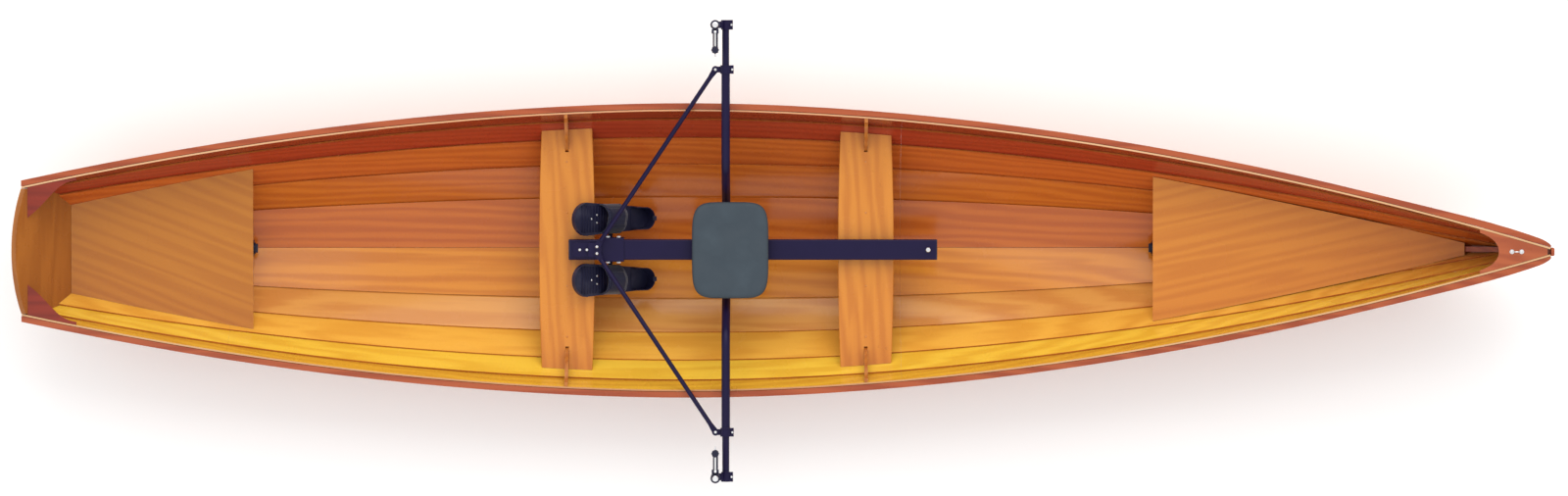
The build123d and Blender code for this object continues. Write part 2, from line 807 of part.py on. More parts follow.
def bolt(axis_plane, grip, head_radius=bolt_head_radius, head=bolt_head):
    """A bolt with its head on the plane, its shank going down the plane's normal."""
    with BuildPart() as piece:
        with BuildSketch(axis_plane.offset(glue_gap)):
            RegularPolygon(head_radius, 6)
        extrude(amount=head)
        with BuildSketch(axis_plane.offset(glue_gap)):
            Circle(bolt_radius)
        extrude(amount=-grip)
        top = piece.faces().sort_by(Axis(axis_plane.origin, axis_plane.z_dir))[-1]
        chamfer(top.edges(), bolt_chamfer)
    return piece.part


hold_down_x = [x + hold_down_shift for x in (frame_aft_x, frame_fore_x)]
saddle_x = (wing_x - saddle_length / 2 + saddle_inset, wing_x + saddle_length / 2 - saddle_inset)
rail_bore = rail_corner - rail_wall + 0.5
with BuildPart() as rail:
    with BuildSketch(Plane.YZ.offset(rail_aft_x)):
        with Locations((0, rail_middle)):
            RectangleRounded(rail_width, rail_height, rail_corner)
            inside = 2 * rail_wall
            RectangleRounded(rail_width - inside, rail_height - inside, rail_bore, mode=Mode.SUBTRACT)
    extrude(amount=rail_fore_x - rail_aft_x)
    for x in (*hold_down_x, *saddle_x):
        for y in hold_down_y:
            with Locations((x, y, rail_bottom)):
                Cylinder(bolt_radius + bolt_gap, 3 * rail_wall, mode=Mode.SUBTRACT)
    for x in bracket_bolt_x:
        with Locations((x, 0, rail_top)):
            Cylinder(bolt_radius + bolt_gap, 3 * rail_wall, mode=Mode.SUBTRACT)
    with Locations((stop_x, 0, rail_top)):
        Cylinder(bolt_radius + bolt_gap, 4 * rail_wall, mode=Mode.SUBTRACT)
save(rail.part, "rail")

with BuildPart() as rail_caps:
    for x, way in ((rail_aft_x, -1), (rail_fore_x, 1)):
        face = Plane(origin=(x, 0, rail_middle), x_dir=(0, 1, 0), z_dir=(way, 0, 0))
        with BuildSketch(face):
            RectangleRounded(rail_width, rail_height, rail_corner)
        extrude(amount=cap_thickness)
        inset = 2 * (rail_wall + 0.15)
        with BuildSketch(face):
            RectangleRounded(rail_width - inset, rail_height - inset, rail_bore)
        extrude(amount=-cap_plug)
    fillet(rail_caps.faces().sort_by(Axis.X)[-1].edges(), 2)
    fillet(rail_caps.faces().sort_by(Axis.X)[0].edges(), 2)
save(rail_caps.part, "rail_end_caps")

with BuildPart() as hold_downs:
    for x in hold_down_x:
        for y in hold_down_y:
            add(bolt(Plane(origin=(x, y, thwart_under), z_dir=(0, 0, -1)), thwart_thickness + rail_wall + 4))
save(hold_downs.part, "hold_down_bolts")

# ------------------------------------------------------------------ wing tube
wing_low_z = rail_bottom - saddle_wall - wing_radius - 2 * glue_gap
wing_high_z = sheer_height + wing_over_sheer
wing_rise = wing_high_z - wing_low_z
wing_plane = Plane(origin=(wing_x, 0, wing_low_z), x_dir=(0, 1, 0), z_dir=(1, 0, 0))
with BuildPart() as wing:
    with BuildLine(wing_plane) as wing_path:
        FilletPolyline(
            (-wing_end, wing_rise),
            (-wing_shoulder, wing_rise),
            (-wing_low_half, 0),
            (wing_low_half, 0),
            (wing_shoulder, wing_rise),
            (wing_end, wing_rise),
            radius=wing_bend,
        )
    with BuildSketch(Plane(origin=wing_path.line @ 0, z_dir=wing_path.line % 0)):
        Circle(wing_radius)
        Circle(wing_radius - wing_wall, mode=Mode.SUBTRACT)
    sweep(path=wing_path.line)
save(wing.part, "wing_tube")

extension_radius = wing_radius - wing_wall - tube_gap
with BuildPart() as extension:
    with BuildSketch(Plane.XZ.offset(-wing_end + extension_overlap)):
        with Locations((wing_x, wing_high_z)):
            Circle(extension_radius)
            Circle(extension_radius - wing_wall, mode=Mode.SUBTRACT)
    extrude(amount=-(extension_end - wing_end + extension_overlap))
save_twins(extension.part, "wing_extensions")

with BuildPart() as saddle:
    with BuildSketch(Plane.XY.offset(rail_bottom - glue_gap)):
        with Locations((wing_x, 0)):
            RectangleRounded(saddle_length, rail_width, saddle_corner)
            with GridLocations(saddle_x[1] - saddle_x[0], 2 * hold_down_y[1], 2, 2):
                Circle(bolt_radius + bolt_gap, mode=Mode.SUBTRACT)
    extrude(amount=-saddle_wall)
    cradle = Plane(origin=(wing_x, rail_half - saddle_corner, wing_low_z), x_dir=(1, 0, 0), z_dir=(0, -1, 0))
    with BuildSketch(cradle):
        with BuildLine():
            reach = wing_radius + saddle_wall + tube_gap
            Line((-reach, wing_radius + 1), (-reach, 0))
            ThreePointArc((-reach, 0), (0, -reach), (reach, 0))
            Polyline((reach, 0), (reach, wing_radius + 1), (-reach, wing_radius + 1))
        make_face()
        Circle(wing_radius + tube_gap, mode=Mode.SUBTRACT)
    extrude(amount=rail_width - 2 * saddle_corner)
save(saddle.part, "wing_saddle")


def ring_clamp(y, radius, width, ear_z, ear_thickness, ear_radius, bore):
    """A split ring round an arm, with an ear aft of it and a screw through its lugs forward."""
    axis = (wing_x, wing_high_z)
    lug_x = wing_x + radius + clamp_wall / 2 + clamp_screw_out
    with BuildPart() as clamp:
        with BuildSketch(Plane.XZ.offset(-y + width / 2)):
            with Locations(axis):
                Circle(radius + clamp_wall)
            with Locations((lug_x - 2, wing_high_z)):
                Rectangle(clamp_lug, clamp_lug)
        extrude(amount=-width)
        with BuildSketch(Plane.XY.offset(wing_high_z + ear_z)):
            with Locations((wing_x - arm_offset / 2, y)):
                Rectangle(arm_offset, 1.7 * ear_radius)
            with Locations((wing_x - arm_offset, y)):
                Circle(ear_radius)
                Circle(bore, mode=Mode.SUBTRACT)
        extrude(amount=ear_thickness)
        with BuildSketch(Plane.XZ.offset(-y + width)):
            with Locations(axis):
                Circle(radius)
                Rectangle(2 * (radius + clamp_lug), clamp_slot, align=(Align.MIN, Align.CENTER))
        extrude(amount=-2 * width, mode=Mode.SUBTRACT)
        with Locations((lug_x, y, wing_high_z)):
            Cylinder(bolt_radius + bolt_gap, 3 * clamp_lug, mode=Mode.SUBTRACT)
    return clamp.part


ear_z = -brace_drop + tab_thickness / 2 + glue_gap
brace_clamp = ring_clamp(
    brace_y, wing_radius + tube_gap, clamp_width, ear_z, clamp_ear, tab_radius + 1, bolt_radius + bolt_gap
)
save_twins(brace_clamp, "brace_clamps")
fitting_bore, pin_bore = extension_radius + tube_gap, pin_radius + 0.05
end_fitting = ring_clamp(pin_y, fitting_bore, fitting_width, -boss_half, 2 * boss_half, boss_radius, pin_bore)
save_twins(end_fitting, "end_fittings")

# ------------------------------------------------------------------ braces and their bracket
brace_outer = Vector(wing_x - arm_offset, brace_y, wing_high_z - brace_drop)
bracket_top = rail_top + glue_gap + bracket_rise
brace_inner = Vector(brace_inner_x, brace_inner_y, bracket_top + glue_gap + tab_thickness / 2)
brace_heading = math.degrees(math.atan2(brace_outer.Y - brace_inner.Y, brace_outer.X - brace_inner.X))
with BuildPart() as brace:
    for end, heading in ((brace_inner, brace_heading), (brace_outer, brace_heading + 180)):
        with BuildSketch(Plane(origin=end - Vector(0, 0, tab_thickness / 2)).rotated((0, 0, heading))):
            with BuildLine():
                ThreePointArc((0, tab_radius), (-tab_radius, 0), (0, -tab_radius))
                tip = [(brace_blade, -brace_radius), (brace_blade, brace_radius)]
                Polyline((0, -tab_radius), *tip, (0, tab_radius))
            make_face()
            Circle(bolt_radius + bolt_gap, mode=Mode.SUBTRACT)
        extrude(amount=tab_thickness)
    run = (brace_outer - brace_inner).normalized()
    setback = brace_blade - brace_overlap
    with BuildSketch(Plane(origin=brace_inner + run * setback, z_dir=run)):
        Circle(brace_radius)
    extrude(amount=(brace_outer - brace_inner).length - 2 * setback)
save_pair(brace.part, "brace")

with BuildPart() as bracket:
    with BuildSketch(Plane.XZ.offset(-bracket_width / 2)):
        with BuildLine():
            base = rail_top + glue_gap
            riser_x = bracket_riser_x
            front_x = brace_inner_x + tab_radius + 3
            Polyline(
                (bracket_aft_x, base),
                (riser_x + bracket_wall, base),
                (riser_x + bracket_wall, bracket_top - bracket_wall),
                (front_x, bracket_top - bracket_wall),
                (front_x, bracket_top),
                (riser_x, bracket_top),
                (riser_x, base + bracket_wall),
                (bracket_aft_x, base + bracket_wall),
                close=True,
            )
        make_face()
    extrude(amount=bracket_width)
    for x in bracket_bolt_x:
        with Locations((x, 0, rail_top)):
            Cylinder(bolt_radius + bolt_gap, 6 * bracket_wall, mode=Mode.SUBTRACT)
    for y in (-brace_inner_y, brace_inner_y):
        with Locations((brace_inner_x, y, bracket_top)):
            Cylinder(bolt_radius + bolt_gap, 4 * bracket_wall, mode=Mode.SUBTRACT)
save(bracket.part, "brace_bracket")

with BuildPart() as rig_bolts:
    add(bolt(Plane(origin=(stop_x, 0, rail_top)), 3 * rail_wall, stop_head_radius, stop_head))
    for x in bracket_bolt_x:
        add(bolt(Plane(origin=(x, 0, rail_top + glue_gap + bracket_wall)), bracket_wall + rail_wall + 4))
    for y in (-brace_inner_y, brace_inner_y):
        top = bracket_top + 2 * glue_gap + tab_thickness
        add(bolt(Plane(origin=(brace_inner_x, y, top)), tab_thickness + bracket_wall + 5))
    for side in (1, -1):
        top = wing_high_z + ear_z + clamp_ear
        add(bolt(Plane(origin=(brace_outer.X, side * brace_y, top)), clamp_ear + tab_thickness + 7))
        for middle_y, radius in ((brace_y, wing_radius), (pin_y, extension_radius)):
            screw_x = wing_x + radius + tube_gap + clamp_wall / 2 + clamp_screw_out
            screw = Plane(origin=(screw_x, side * middle_y, wing_high_z + clamp_lug / 2))
            add(bolt(screw, clamp_lug + 3, head_radius=bolt_head_radius - 1))
    for x in saddle_x:
        for y in hold_down_y:
            screw = Plane(origin=(x, y, rail_bottom - glue_gap - saddle_wall), z_dir=(0, 0, -1))
            add(bolt(screw, saddle_wall + rail_wall + 5))
save(rig_bolts.part, "rig_bolts")

# ------------------------------------------------------------------ oarlocks
pin_x = wing_x - arm_offset
lock_floor = wing_high_z + lock_lift
lock_top = lock_floor + lock_height
pin_foot = wing_high_z - boss_half - nut_height - pin_tail
with BuildPart() as oarlock_pin:
    with BuildSketch(Plane.XY.offset(pin_foot)):
        with Locations((pin_x, pin_y)):
            Circle(pin_radius)
    extrude(amount=lock_top + dome_height / 2 - pin_foot)
    with BuildSketch(Plane.XY.offset(wing_high_z - boss_half - glue_gap)):
        with Locations((pin_x, pin_y)):
            RegularPolygon(nut_radius, 6)
    extrude(amount=-nut_height)
    with BuildSketch(Plane.XY.offset(wing_high_z + boss_half + glue_gap)):
        with Locations((pin_x, pin_y)):
            Circle(nut_radius)
    extrude(amount=lock_lift - boss_half - 2 * glue_gap)
    with BuildSketch(Plane.XY.offset(lock_top + glue_gap)):
        with Locations((pin_x, pin_y)):
            Circle(nut_radius)
    extrude(amount=dome_height)
    fillet(oarlock_pin.faces().sort_by(Axis.Z)[-1].edges(), dome_round)
save_twins(oarlock_pin.part, "oarlock_pins")

post_y = pin_y - lock_post
pivot_y = pin_y - gate_pivot
gate_z = lock_top + gate_seat
ear_half = gate_eye + ear_radius
with BuildPart() as oarlock:
    with BuildSketch(Plane.XY.offset(lock_floor)):
        with Locations((pin_x, pin_y)):
            Circle(lock_radius)
    extrude(amount=lock_height)
    with BuildSketch(Plane.XY.offset(lock_floor)):
        with Locations((pin_x, pin_y - lock_post / 2)):
            Rectangle(lock_web, lock_post)
        with Locations((pin_x, post_y)):
            Circle(lock_post_radius + 1)
    extrude(amount=lock_sill)
    with BuildSketch(Plane.XY.offset(lock_floor + lock_sill)):
        with Locations((pin_x, post_y)):
            Circle(lock_post_radius)
    extrude(amount=lock_height - lock_sill - lock_neck, taper=2)
    with BuildSketch(Plane.YZ.offset(pin_x - ear_half)):
        with BuildLine():
            root, nose = pivot_y + ear_reach, pivot_y - ear_radius
            low_z = lock_top - ear_foot
            Polyline((root, low_z), (root, lock_top - lock_neck), (pivot_y + ear_radius, gate_z))
            ThreePointArc((pivot_y + ear_radius, gate_z), (pivot_y, gate_z + ear_radius), (nose, gate_z))
            Polyline((nose, gate_z), (nose, lock_top - 8), (root, low_z))
        make_face()
    extrude(amount=2 * ear_half)
    with BuildSketch(Plane.YZ.offset(pin_x - gate_radius - gate_side_gap)):
        with Locations((pivot_y, gate_z)):
            Circle(ear_half)
            Rectangle(2 * ear_half + 1, 2 * ear_half + 1, align=(Align.MAX, Align.CENTER))
    extrude(amount=2 * (gate_radius + gate_side_gap), mode=Mode.SUBTRACT)
    with BuildSketch(Plane.YZ.offset(pin_x - ear_half - 2)):
        with Locations((pivot_y, gate_z)):
            Circle(gate_pin + pin_clearance)
    extrude(amount=2 * ear_half + 4, mode=Mode.SUBTRACT)
    with BuildSketch(Plane.XY.offset(lock_floor - 1)):
        with Locations((pin_x, pin_y)):
            Circle(pin_radius + pin_clearance)
    extrude(amount=lock_height + 2, mode=Mode.SUBTRACT)
save_pair(oarlock.part, "oarlock")

with BuildPart() as gate:
    with BuildSketch(Plane.YZ.offset(pin_x - gate_radius)):
        with Locations((pivot_y, gate_z)):
            Circle(gate_eye - 1)
    extrude(amount=2 * gate_radius)
    with BuildSketch(Plane.YZ.offset(pin_x - ear_half - 1)):
        with Locations((pivot_y, gate_z)):
            Circle(gate_pin)
    extrude(amount=2 * ear_half + 2)
    with BuildSketch(Plane.XZ.offset(-pivot_y + gate_eye - 4)):
        with Locations((pin_x, gate_z)):
            Circle(gate_radius - 0.2)
    extrude(amount=gate_length - gate_pivot - gate_eye + 4)
    with BuildSketch(Plane.XY.offset(gate_z + gate_radius - knob_drop)):
        with Locations((pin_x, post_y)):
            with PolarLocations(0, 4):
                Rectangle(2 * knob_radius, knob_ridge)
            Circle(knob_radius - 4)
    extrude(amount=knob_height)
save_pair(gate.part, "oarlock_gate")

# ------------------------------------------------------------------ foot stretcher
tilt = math.radians(foot_tilt)
sole_along = Vector(-math.cos(tilt), 0, math.sin(tilt))
sole_up = Vector(math.sin(tilt), 0, math.cos(tilt))
sole_origin = Vector(heel_x, foot_y, heel_z)
sole_plane = Plane(origin=sole_origin, x_dir=sole_along, z_dir=sole_up)


with BuildPart() as footplate:
    with BuildSketch(sole_plane.offset(-sole_thickness)):
        heel_c, toe_c = heel_radius, foot_length - toe_radius
        with BuildLine():
            ThreePointArc((heel_c, heel_radius), (0, 0), (heel_c, -heel_radius))
            Line((heel_c, -heel_radius), (toe_c, -toe_radius))
            ThreePointArc((toe_c, -toe_radius), (foot_length, 0), (toe_c, toe_radius))
            Line((toe_c, toe_radius), (heel_c, heel_radius))
        make_face()
    extrude(amount=sole_thickness)
    with BuildSketch(sole_plane):
        with BuildLine():
            ThreePointArc((toe_c, -toe_radius), (foot_length, 0), (toe_c, toe_radius))
            Line((toe_c, toe_radius), (toe_c, toe_radius - rim_wall))
            ThreePointArc(
                (toe_c, toe_radius - rim_wall), (foot_length - rim_wall, 0), (toe_c, rim_wall - toe_radius)
            )
            Line((toe_c, rim_wall - toe_radius), (toe_c, -toe_radius))
        make_face()
    extrude(amount=rim_height)
    with BuildSketch(Plane(origin=sole_origin, x_dir=sole_along, z_dir=(0, 1, 0)).offset(-clip_width / 2)):
        with Locations((crossbar_along, -clip_drop / 2 - 1)):
            Rectangle(2 * crossbar_radius + 8, clip_drop - 2)
        with Locations((crossbar_along, -clip_drop)):
            Circle(crossbar_radius + clip_wall)
            Circle(crossbar_radius + bolt_gap, mode=Mode.SUBTRACT)
    extrude(amount=clip_width)
save_pair(footplate.part, "footplate")

crossbar_axis = sole_origin + sole_along * crossbar_along - sole_up * clip_drop
with BuildPart() as crossbar:
    with BuildSketch(Plane.XZ.offset(-crossbar_half)):
        with Locations((crossbar_axis.X, crossbar_axis.Z)):
            Circle(crossbar_radius)
            Circle(crossbar_radius - crossbar_wall, mode=Mode.SUBTRACT)
    extrude(amount=2 * crossbar_half)
save(crossbar.part, "stretcher_crossbar")

cheek_inner = rail_half + stretcher_gap
cheek_low = crossbar_axis.Z - crossbar_radius - 8
screw_x = (stretcher_aft_x + stretcher_screw_inset[0], stretcher_fore_x - stretcher_screw_inset[1])
with BuildPart() as stretcher:
    with BuildSketch(Plane.YZ.offset(stretcher_aft_x)):
        with Locations((0, cheek_low)):
            rise = rail_top + stretcher_gap - cheek_low
            upward = (Align.CENTER, Align.MIN)
            Rectangle(2 * (cheek_inner + stretcher_wall), rise + stretcher_wall, align=upward)
            Rectangle(2 * cheek_inner, rise, align=upward, mode=Mode.SUBTRACT)
    extrude(amount=stretcher_fore_x - stretcher_aft_x)
    fillet(stretcher.edges().filter_by(Axis.X).group_by(Axis.Z)[-1], 4)
    with Locations((crossbar_axis.X, 0, crossbar_axis.Z)):
        Cylinder(crossbar_radius + bolt_gap, 3 * rail_width, rotation=(90, 0, 0), mode=Mode.SUBTRACT)
    for x in screw_x:
        with Locations((x, 0, rail_middle)):
            Cylinder(bolt_radius + bolt_gap, 3 * rail_width, rotation=(90, 0, 0), mode=Mode.SUBTRACT)
save(stretcher.part, "stretcher_saddle")

with BuildPart() as stretcher_bolts:
    for x in screw_x:
        for side in (1, -1):
            face = Plane(origin=(x, side * (cheek_inner + stretcher_wall), rail_middle), z_dir=(0, side, 0))
            add(bolt(face, stretcher_wall + glue_gap, head_radius=7, head=6))
save(stretcher_bolts.part, "stretcher_bolts")

strap_start = sole_origin + sole_along * (strap_middle - strap_width / 2)
with BuildPart() as strap:
    # The face's Y points down, away from the foot.
    with BuildSketch(Plane(origin=strap_start, x_dir=(0, 1, 0), z_dir=sole_along)):
        Ellipse(strap_half, strap_height)
        Ellipse(strap_half - strap_thickness, strap_height - strap_thickness, mode=Mode.SUBTRACT)
        with Locations((0, -soft_gap)):
            Rectangle(3 * strap_half, 2 * strap_height, align=(Align.CENTER, Align.MIN), mode=Mode.SUBTRACT)
    extrude(amount=strap_width)
save_twins(strap.part, "foot_straps")

with BuildPart() as heel_cup:
    with BuildSketch(sole_plane.offset(soft_gap)):
        with BuildLine():
            outer = heel_radius - 1
            inner = outer - cup_wall
            middle = heel_radius
            Line((cup_length, outer), (middle, outer))
            ThreePointArc((middle, outer), (middle - outer, 0), (middle, -outer))
            Polyline((middle, -outer), (cup_length, -outer), (cup_length, -inner), (middle, -inner))
            ThreePointArc((middle, -inner), (middle - inner, 0), (middle, inner))
            Polyline((middle, inner), (cup_length, inner), (cup_length, outer))
        make_face()
    extrude(amount=cup_height)
    with BuildSketch(sole_plane.offset(soft_gap)):
        with Locations((cup_length / 2 + 12, 0)):
            Rectangle(cup_length - 24, 2 * (outer - cup_wall) - 8)
    extrude(amount=2)
    with BuildSketch(sole_plane.offset(soft_gap)):
        with Locations((cup_length / 2 + 12, 0)):
            Rectangle(20, 2 * outer - 2)
    extrude(amount=2)
save_pair(heel_cup.part, "heel_cup")

# ------------------------------------------------------------------ seat
axle_z = rail_top + wheel_radius + 0.05
roof_z = rail_top + 2 * wheel_radius + carriage_gap
with BuildPart() as carriage:
    with BuildSketch(Plane.XY.offset(roof_z)):
        with Locations((seat_x, 0)):
            RectangleRounded(carriage_length, carriage_width + 40, 10)
    extrude(amount=carriage_wall)
    for side in (1, -1):
        web_y = side * (carriage_width - carriage_wall) / 2
        with BuildSketch(Plane.XZ.offset(-web_y - carriage_wall / 2)):
            with Locations((seat_x, (roof_z + axle_z - 8) / 2)):
                Rectangle(carriage_length - 10, roof_z - axle_z + 8)
            with Locations((seat_x - wheel_base / 2, axle_z), (seat_x + wheel_base / 2, axle_z)):
                Circle(axle_radius + 0.05, mode=Mode.SUBTRACT)
        extrude(amount=carriage_wall)
save(carriage.part, "seat_carriage")

wheel_y = wheel_track / 2
with BuildPart() as axles:
    for x in (seat_x - wheel_base / 2, seat_x + wheel_base / 2):
        with Locations((x, 0, axle_z)):
            Cylinder(axle_radius, carriage_width + 6, rotation=(90, 0, 0))
save(axles.part, "seat_axles")
for name, x in (("aft", seat_x - wheel_base / 2), ("forward", seat_x + wheel_base / 2)):
    with BuildPart() as wheels:
        for side in (1, -1):
            with Locations((x, side * wheel_y, axle_z)):
                Cylinder(wheel_radius, wheel_width, rotation=(90, 0, 0))
        chamfer(wheels.edges().filter_by(GeomType.CIRCLE), 1.5)
        with Locations((x, 0, axle_z)):
            Cylinder(axle_radius + axle_clearance, rail_width, rotation=(90, 0, 0), mode=Mode.SUBTRACT)
    save(wheels.part, f"{name}_wheels")

with BuildPart() as seat_pad:
    with BuildSketch(Plane.XY.offset(roof_z + carriage_wall + soft_gap)):
        with Locations((seat_x, 0)):
            RectangleRounded(seat_length, seat_width, seat_corner)
    extrude(amount=seat_thickness)
    fillet(seat_pad.faces().sort_by(Axis.Z)[-1].edges(), 9)
save(seat_pad.part, "seat_pad")
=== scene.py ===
"""Looks of a lapstrake rowing skiff with a sliding-seat rig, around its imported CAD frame."""

import json
import logging
import math
from dataclasses import dataclass, field
from enum import Enum

import bmesh
import bpy
from mathutils import Matrix, Vector


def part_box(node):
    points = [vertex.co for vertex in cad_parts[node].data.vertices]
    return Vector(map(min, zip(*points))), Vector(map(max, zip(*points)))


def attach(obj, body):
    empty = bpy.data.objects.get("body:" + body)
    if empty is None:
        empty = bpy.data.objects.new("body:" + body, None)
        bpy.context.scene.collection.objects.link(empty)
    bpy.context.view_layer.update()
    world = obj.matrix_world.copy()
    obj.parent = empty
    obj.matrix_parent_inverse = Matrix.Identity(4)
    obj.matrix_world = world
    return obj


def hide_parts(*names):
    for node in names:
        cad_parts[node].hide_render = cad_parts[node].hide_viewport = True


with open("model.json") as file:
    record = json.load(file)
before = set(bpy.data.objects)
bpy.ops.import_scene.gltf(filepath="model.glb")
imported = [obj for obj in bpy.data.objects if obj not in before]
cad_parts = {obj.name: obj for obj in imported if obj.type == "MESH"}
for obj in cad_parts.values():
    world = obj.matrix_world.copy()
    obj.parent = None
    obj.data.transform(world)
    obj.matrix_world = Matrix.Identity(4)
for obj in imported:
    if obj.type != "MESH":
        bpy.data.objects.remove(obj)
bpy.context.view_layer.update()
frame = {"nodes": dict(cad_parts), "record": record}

FOOT_TILT = 38.0  # degrees, as in the CAD source
MIX_A, MIX_B, MIX_OUT = 6, 7, 2  # colour sockets of a Mix node
HEEL_STRIP = 0.02  # length of a sole's heel end where its face is measured
DULLER, SHINIER = 0.1, 0.08  # how far a mottled surface strays from its roughness
log = logging.getLogger("skiff")
Colour = tuple[float, float, float]


class Grain(Enum):
    """Which way a board's grain runs, as the grain's scale in X, Y and Z."""

    LENGTHWISE = (0.55, 9.0, 9.0)
    ATHWARTSHIPS = (9.0, 0.9, 9.0)


def new_group(
    name: str, inputs: dict[str, float | tuple[float, ...]], outputs: tuple[str, ...]
) -> tuple[bpy.types.NodeTree, bpy.types.Node, bpy.types.Node]:
    """Makes an empty node group.

    Args:
        name: the group's name.
        inputs: each input's default, a number, a vector of three or a colour of four.
        outputs: each output's name; "Color" is a colour and the rest are numbers.

    Returns:
        The group, its input node and its output node.
    """
    tree = bpy.data.node_groups.new(name, "ShaderNodeTree")
    for label, value in inputs.items():
        kind = {3: "Vector", 4: "Color"}[len(value)] if isinstance(value, tuple) else "Float"
        socket = tree.interface.new_socket(name=label, in_out="INPUT", socket_type=f"NodeSocket{kind}")
        socket.default_value = value
    for label in outputs:
        kind = "Color" if label == "Color" else "Float"
        tree.interface.new_socket(name=label, in_out="OUTPUT", socket_type=f"NodeSocket{kind}")
    return tree, node(tree, "NodeGroupInput"), node(tree, "NodeGroupOutput")


def link_chain(tree: bpy.types.NodeTree, *pairs: tuple[object, object]) -> None:
    """Links each pair of output and input sockets."""
    for source, target in pairs:
        tree.links.new(source, target)


def node(tree: bpy.types.NodeTree, kind: str, **settings: object) -> bpy.types.Node:
    """Adds a node and sets it up.

    Args:
        tree: the tree to add to.
        kind: the node's type, without "ShaderNode" for shader nodes.
        settings: attributes, or input values for names that start with "in_" (by index or name).

    Returns:
        The new node.
    """
    name = kind if kind.startswith("Node") else f"ShaderNode{kind}"
    new = tree.nodes.new(name)
    for key, value in settings.items():
        if key.startswith("in_"):
            slot = key[3:]
            new.inputs[int(slot) if slot.isdigit() else slot.replace("_", " ")].default_value = value
        else:
            setattr(new, key, value)
    return new


class EffectLibrary:
    """Shared effects, each a node group that puts out colours, masks, values and normals."""

    def __init__(self) -> None:
        """Builds every group once."""
        self.grain = self._grain()
        self.wear = self._wear()
        self.mottle = self._mottle()
        self.weave = self._weave()

    def _grain(self) -> bpy.types.NodeTree:
        """Makes the wood grain: long streaks, darker pores and a slow change of tone.

        Returns:
            The group, with a colour and a height.
        """
        inputs = {
            "Vector": (0.0, 0.0, 0.0),
            "Light": (0.8, 0.4, 0.1, 1.0),
            "Dark": (0.5, 0.2, 0.05, 1.0),
            "Stretch": (0.6, 9.0, 9.0),
            "Figure": 0.5,
            "Shift": 0.0,
        }
        tree, start, end = new_group("wood_grain", inputs, ("Color", "Height"))
        shift = node(tree, "CombineXYZ")
        moved = node(tree, "VectorMath", operation="ADD")
        scaled = node(tree, "VectorMath", operation="MULTIPLY")
        broad = node(tree, "TexNoise", in_Scale=1.0, in_Detail=4.0, in_Roughness=0.55, in_Distortion=0.6)
        rings = node(tree, "TexWave", bands_direction="DIAGONAL", in_Scale=1.6, in_Distortion=7.0, in_Detail=3.0)
        rings.inputs["Detail Scale"].default_value = 1.2
        fine_scale = node(tree, "VectorMath", operation="MULTIPLY", in_1=(2.5, 16.0, 16.0))
        fine = node(tree, "TexNoise", in_Scale=2.0, in_Detail=5.0, in_Roughness=0.7)
        blend = node(tree, "Mix", data_type="FLOAT", in_0=0.45)
        spread = node(tree, "MapRange", in_From_Min=0.3, in_From_Max=0.72)
        figured = node(tree, "Math", operation="MULTIPLY")
        colour = node(tree, "Mix", data_type="RGBA")
        pores = node(tree, "MapRange", in_From_Min=0.62, in_From_Max=0.78)
        pore_strength = node(tree, "Math", operation="MULTIPLY", in_1=0.35)
        pored = node(tree, "Mix", data_type="RGBA", blend_type="MULTIPLY", in_7=(0.45, 0.3, 0.2, 1))
        link_chain(
            tree,
            (start.outputs["Shift"], shift.inputs[0]),
            (start.outputs["Shift"], shift.inputs[1]),
            (start.outputs["Vector"], moved.inputs[0]),
            (shift.outputs[0], moved.inputs[1]),
            (moved.outputs[0], scaled.inputs[0]),
            (start.outputs["Stretch"], scaled.inputs[1]),
            (scaled.outputs[0], broad.inputs["Vector"]),
            (scaled.outputs[0], rings.inputs["Vector"]),
            (scaled.outputs[0], fine_scale.inputs[0]),
            (fine_scale.outputs[0], fine.inputs["Vector"]),
            (broad.outputs[0], blend.inputs[2]),
            (rings.outputs["Fac"], blend.inputs[3]),
            (blend.outputs[0], spread.inputs[0]),
            (spread.outputs[0], figured.inputs[0]),
            (start.outputs["Figure"], figured.inputs[1]),
            (figured.outputs[0], colour.inputs[0]),
            (start.outputs["Light"], colour.inputs[MIX_A]),
            (start.outputs["Dark"], colour.inputs[MIX_B]),
            (fine.outputs[0], pores.inputs[0]),
            (pores.outputs[0], pore_strength.inputs[0]),
            (pore_strength.outputs[0], pored.inputs[0]),
            (colour.outputs[MIX_OUT], pored.inputs[MIX_A]),
            (pored.outputs[MIX_OUT], end.inputs["Color"]),
            (fine.outputs[0], end.inputs["Height"]),
        )
        return tree

    def _wear(self) -> bpy.types.NodeTree:
        """Makes a mask that is bright along edges, broken up by noise.

        Returns:
            The group, with one mask.
        """
        tree, start, end = new_group("edge_wear", {"Radius": 0.003, "Amount": 0.6}, ("Mask",))
        geometry = node(tree, "NewGeometry")
        bevel = node(tree, "Bevel", samples=4)
        dot = node(tree, "VectorMath", operation="DOT_PRODUCT")
        edge = node(tree, "MapRange", in_From_Min=0.98, in_From_Max=0.8)
        noise = node(tree, "TexNoise", in_Scale=60.0, in_Detail=4.0)
        broken = node(tree, "MapRange", in_From_Min=0.4, in_From_Max=0.62)
        mask = node(tree, "Math", operation="MULTIPLY")
        scaled = node(tree, "Math", operation="MULTIPLY")
        link_chain(
            tree,
            (start.outputs["Radius"], bevel.inputs["Radius"]),
            (bevel.outputs[0], dot.inputs[0]),
            (geometry.outputs["Normal"], dot.inputs[1]),
            (dot.outputs["Value"], edge.inputs[0]),
            (geometry.outputs["Position"], noise.inputs["Vector"]),
            (noise.outputs[0], broken.inputs[0]),
            (edge.outputs[0], mask.inputs[0]),
            (broken.outputs[0], mask.inputs[1]),
            (mask.outputs[0], scaled.inputs[0]),
            (start.outputs["Amount"], scaled.inputs[1]),
            (scaled.outputs[0], end.inputs["Mask"]),
        )
        return tree

